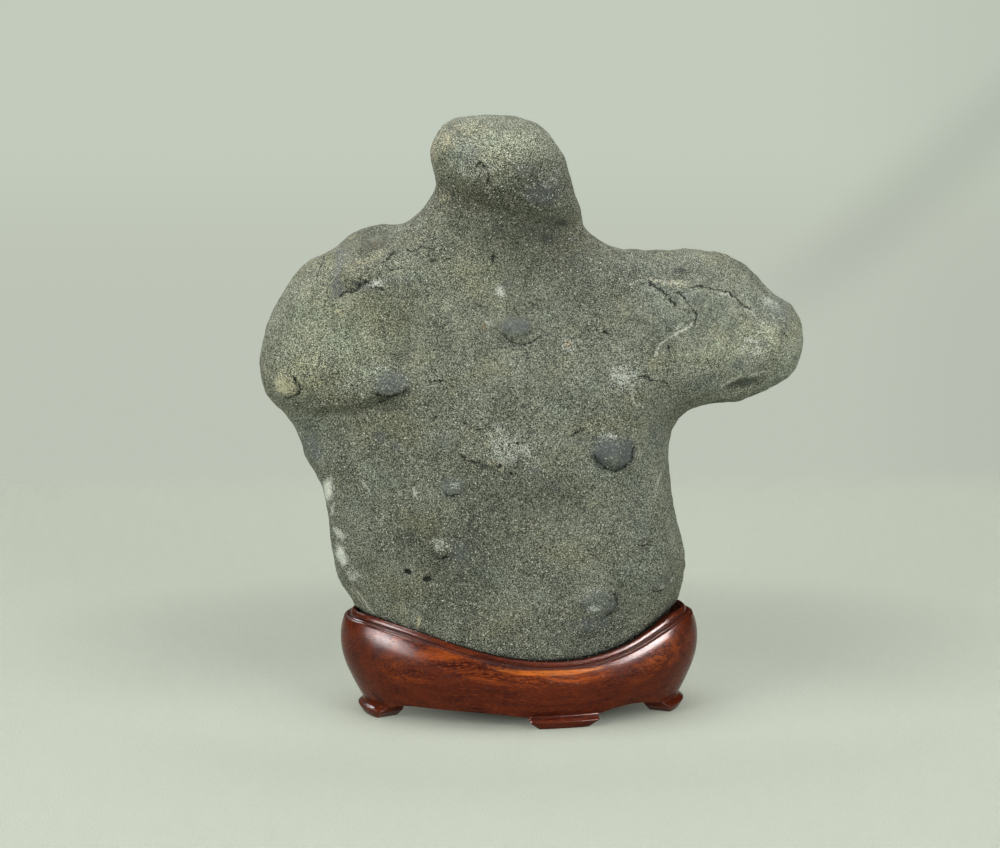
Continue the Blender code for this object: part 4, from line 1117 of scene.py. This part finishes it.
def standMesh(shape):
    # the rings' quads, with a fan on a middle point that closes the first and the last ring;
    # also each point's depth below the rim and its share of painted shade in the creases and on
    # the seat
    angles = np.linspace(0, 2 * math.pi, shape["anglesRound"], endpoint=False)
    rings, top, creaseShade = standRings(shape, angles)
    count = len(angles)
    points = rings.reshape(-1, 3)
    k = np.arange(count)
    middles, fans = [], []
    for start, order in ((0, 1), (len(points) - count, -1)):
        middle = np.full(count, len(points) + len(middles))
        middles.append(points[start:start + count].mean(axis=0))
        fans.append(np.stack([start + k, start + (k + 1) % count, middle], axis=-1)[:, ::order])
    below = np.r_[np.tile(top, len(rings)) - points[:, 2], 0, 0]
    # the seat's middle point gets full painted shade, the underside's none
    creaseShades = np.r_[np.repeat(creaseShade, count), 1, 0]
    return np.vstack([points, *middles]), loftFaces(len(rings), count), np.vstack(fans), below, creaseShades


woodFinish = {
    "deep": (0.034, 0.0055, 0.0030),
    "middle": (0.100, 0.0155, 0.0042),
    # for pale flecks, and for the painted light under the rim and at the highlights
    "bright": (0.420, 0.0780, 0.0080),
    "sapwood": (0.680, 0.165, 0.008),
    # for the pores, and for the painted shade in the moulding's hollows and on the seat
    "poresAndShade": (0.012, 0.002, 0.001),
    # x, depth below the rim's top, half sizes, turn, strength
    "sapwoodSpots": [(14, 5.6, 24, 1.7, 0, 1), (-10, 6.4, 20, 1.3, 0, 0.7), (32, 6, 12, 1.2, 0, 0.6)],
    # painted light: brighter wood just under the rim at the front and where the highlights fall on the
    # belly
    "glowSpots": [
        (-34, 8.5, 44, 6, 0, 0.8), (10, 9.5, 34, 3.6, 0, 1), (74, 15, 16, 9, 0, 0.7),
        (-76, 24, 16, 8, 0, 0.4),
    ],
}


def woodPaint(finish):
    paint = Paint(bpy.data.materials.new("rosewood"))
    sway = paint.noise(9.0, 2.0, 0.5, output="Color")
    place = paint.shifted(paint.place, sway, 0.030)
    fibres = paint.noise(1500.0, 2.0, 0.65, paint.scaled((0.07, 1.0, 1.0), place))
    streaks = paint.noise(190.0, 3.0, 0.6, paint.scaled((0.07, 1.0, 1.0), place))
    clouds = paint.noise(24.0, 2.0, 0.55, paint.scaled((0.45, 1.0, 1.0)))
    flecks = paint.noise(1300.0, 2.0, 0.65, paint.scaled((0.28, 1.0, 1.0), place))
    pores = paint.noise(1700.0, 1.0, 0.5, paint.scaled((0.14, 1.0, 1.0), place))
    pores = paint.ramp(pores, 0.60, 0.70)
    # painted light that brightens the wood under the rim and at the highlights
    glow = paint.attribute("glow")

    tone = 0.36 * streaks + 0.14 * clouds + 0.28 * fibres + 0.22 * flecks
    colour = paint.mix(paint.ramp(tone, 0.38, 0.54), finish["deep"], finish["middle"])
    bright = paint.ramp(0.5 * flecks + 0.3 * fibres + 0.2 * streaks + 0.06 * glow, 0.52, 0.66)
    colour = paint.mix(bright * (0.22 + 0.55 * glow), colour, finish["bright"])
    colour = paint.mix(glow * paint.ramp(streaks, 0.42, 0.60) * 0.50, colour, finish["bright"])
    lines = paint.ramp(abs(streaks - 0.5), 0.05, 0.015)
    sapwood = paint.attribute("sapwood") + 0.9 * (streaks - 0.5) + 0.5 * (fibres - 0.5)
    sapwood = paint.ramp(sapwood, 0.25, 0.80)
    colour = paint.mix(sapwood * (0.35 + 0.6 * flecks), colour, finish["sapwood"])
    colour = paint.mix(lines * glow * 0.45, colour, finish["deep"])
    colour = paint.mix(pores * 0.60, colour, finish["poresAndShade"])
    # painted shade in the moulding's hollows and on the seat under the stone, which is also made rougher
    creaseShade = paint.attribute("creaseShade")
    colour = paint.mix(creaseShade * 0.85, colour, finish["poresAndShade"])

    height = -0.04 * pores + 0.025 * (fibres - 0.5) + 0.02 * (flecks - 0.5) + 0.12 * (clouds - 0.5)
    roughness = 0.22 + 0.10 * pores + 0.12 * (flecks - 0.5) + 0.3 * creaseShade
    fixed = {"Specular IOR Level": 0.10, "Coat Roughness": 0.20, "Coat Weight": 0.06}
    return paint.finish(colour, roughness, paint.bump(height), fixed)


standPoints, standQuads, standFans, belowRim, creaseShades = standMesh(standShape)
# the sapwood and the painted light are kept to the front
inFront = smoothStep((10 - standPoints[:, 1]) / 15)
standFields = {name: inFront * spotField(woodFinish[name + "Spots"], standPoints[:, 0], belowRim)
               for name in ("sapwood", "glow")}
standFields["creaseShade"] = creaseShades
stand = makePiece("stand_carving", standPoints, standQuads.tolist() + standFans.tolist(), standFields)
stand.data.materials.append(woodPaint(woodFinish))
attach(stand, "root")
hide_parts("stand")
print("stage: stand made,", 2 * len(standQuads) + len(standFans), "triangles")


# the floor, the light and the camera

studio = {
    "floorHalfWidth": 400.0,
    "floor": (0.466, 0.494, 0.423),           # near the object and further back
    "floorBack": (0.462, 0.494, 0.420),
    # the floor's own glow is painted light
    "floorGlow": 0.38,                        # share of its light that the floor gives itself
    "irradiance": 1.26,
    "standHalves": (0.105, 0.055),
    "shade": 0.16,                            # the broad faint shadow, its half sizes and place
    "shadeHalves": (0.26, 0.13),
    "shadeBehind": 0.13,
    "backdropLow": (0.507, 0.545, 0.465),     # how the far cloth glows, near and far
    "backdropHigh": (0.540, 0.595, 0.505),
    # painted shade of a fold in the backdrop: the point it looks straight from, its line, half width and
    # depth
    "foldFrom": (1.278, 0.421),               # how far in front and how high the fold is straight from
    "foldLine": (1851.0, 2141.0, 527.0),
    "foldHalfWidth": 75.0,
    "foldDepth": 0.10,
    "backdropStart": 0.61,                    # how far behind the object the backdrop begins
    "floorReach": 0.85,                       # and how far away the floor fades into it elsewhere
    "zenith": (0.40, 0.42, 0.38),
    # azimuth to the right of the camera, elevation, distance, width, height, watts
    "softboxes": {                            # seen only in matt surfaces
        "left": (-47, 24, 1.7, 0.60, 0.60, 14.0),
        "right": (36, 30, 1.7, 0.60, 0.60, 11.6),
        "top": (180, 84, 1.9, 1.5, 1.5, 27.0),
    },
    "cards": {                                # seen only in gloss
        "left": (-49, 12, 1.7, 0.62, 0.50, 36.0),
        "leftSoft": (-49, 12, 1.75, 1.30, 0.90, 104.0),
        "right": (48.5, 23, 1.7, 0.92, 0.72, 222.0),
        "behind": (-135, 42, 1.7, 0.50, 0.50, 110.0),
        "above": (-50, 64, 1.7, 0.70, 0.50, 60.0),
        "high": (115, 80, 1.7, 0.40, 0.40, 20.0),
    },
    "aim": (0.0, 0.0, 0.17),
    "lens": 80.0,
    "sensor": 36.0,
    "distance": 1.302,
    "elevation": 11.0,
    "target": (-0.01965, -0.0022, 0.1725),
}


def fromCamera(azimuth, elevation):
    # a direction, with azimuth measured to the right of the camera's and elevation upwards
    a, e = math.radians(azimuth), math.radians(elevation)
    return Vector((math.sin(a) * math.cos(e), -math.cos(a) * math.cos(e), math.sin(e)))


def floorPaint(settings):
    # a matt cloth that fades into an evenly glowing backdrop behind the object and far away
    paint = Paint(bpy.data.materials.new("floor_cloth"))
    x, y = (paint.axis(name) for name in "XY")
    radius = paint.length(paint.place)
    behind = paint.ramp(y, settings["backdropStart"] - 0.04, settings["backdropStart"] + 0.08)
    far = paint.maximum(behind, paint.ramp(radius, settings["floorReach"], settings["floorReach"] + 0.8))
    colour = paint.mix(paint.ramp(y, -0.4, 0.6), settings["floor"], settings["floorBack"])

    # a broad faint shadow behind the object, an ellipse in its half sizes
    shadeX = x / settings["shadeHalves"][0]
    shadeY = (y - settings["shadeBehind"]) / settings["shadeHalves"][1]
    shade = 1.0 - settings["shade"] * paint.ramp(shadeX * shadeX + shadeY * shadeY, 2.4, 0.1)
    weave = paint.noise(900.0, 2.0, 0.6)
    colour = paint.brighter(colour, shade * (0.90 + 0.20 * weave))

    # part of its light is its own, painted light: less close under the stand, which paints its
    # contact shadow, and more just around it, which lightens the shadows there
    share = settings["floorGlow"]
    fromStand = paint.length(paint.scaled(tuple(1 / half for half in settings["standHalves"]) + (0.0,)))
    lift = paint.ramp(fromStand, 0.15, 1.35) * (1.0 + 0.30 * paint.ramp(fromStand, 2.6, 1.2))
    nearGlow = paint.brighter(colour, lift * (share * settings["irradiance"]))
    colour = paint.brighter(colour, 1 - share)
    colour = paint.mix(far, colour, (0.0, 0.0, 0.0))
    glow = paint.mix(paint.ramp(y, 0.9, 5.0), settings["backdropLow"], settings["backdropHigh"])

    # painted shade of one soft fold of the backdrop, straight as seen from in front: a band about
    # the line a u + b v = c, with u the share sideways and v the share downwards of the way
    # there; also painted shade that darkens the backdrop's right side
    front, up = settings["foldFrom"]
    u, v = x / (y + front), up / (y + front)
    alongU, alongV, middle = settings["foldLine"]
    away = abs(alongV * v + alongU * u - middle)
    fold = paint.ramp(away, settings["foldHalfWidth"], 0.0) * paint.ramp(v, 0.17, 0.11) * behind
    darker = settings["foldDepth"] * fold + 0.06 * paint.ramp(u, 0.13, 0.22)
    glow = paint.brighter(glow, 1.0 - darker)
    glow = paint.mix(far, nearGlow, glow)
    fixed = {"Specular IOR Level": 0.0, "Emission Color": glow, "Emission Strength": 1.0}
    return paint.finish(colour, 0.9 + 0.02 * weave, paint.bump(0.7 * weave), fixed)


half = studio["floorHalfWidth"] / metre
corners = np.array([(-half, -half, 0), (half, -half, 0), (half, half, 0), (-half, half, 0)], float)
floor = makePiece("floor", corners, [(0, 1, 2, 3)])
floor.data.materials.append(floorPaint(studio))

# the world is as bright as the backdrop near the horizon and darker above it, and like the
# softboxes it is left out of reflections
world = bpy.data.worlds.new("studio")
sky = Paint(world, "Generated")
sky.feed(world.node_tree.nodes["Background"].inputs["Color"],
         sky.mix(sky.ramp(sky.axis("Z"), 0.10, 0.30), studio["backdropHigh"], studio["zenith"]))
world.cycles_visibility.glossy = False
bpy.context.scene.world = world


def turnTo(made, target, azimuth, elevation, distance):
    # stands the object this far from the target in that direction, looking at it
    facing = fromCamera(azimuth, elevation)
    made.location = Vector(target) + facing * distance
    made.rotation_euler = (-facing).to_track_quat("-Z", "Y").to_euler()


for kind in ("softboxes", "cards"):
    for name, (azimuth, elevation, distance, width, height, watts) in studio[kind].items():
        lamp = bpy.data.lights.new(kind + "_" + name, "AREA")
        lamp.shape, lamp.size, lamp.size_y, lamp.energy = "RECTANGLE", width, height, watts
        softbox = placed(lamp.name, lamp)
        softbox.visible_diffuse = kind == "softboxes"
        softbox.visible_glossy = kind == "cards"
        turnTo(softbox, studio["aim"], azimuth, elevation, distance)

lens = bpy.data.cameras.new("camera")
lens.lens, lens.sensor_width, lens.clip_end = studio["lens"], studio["sensor"], 1000.0
camera = placed("camera", lens)
turnTo(camera, studio["target"], 0, studio["elevation"], studio["distance"])
bpy.context.scene.camera = camera
bpy.context.scene.view_settings.view_transform = "Standard"
print("stage: floor, light and camera set")
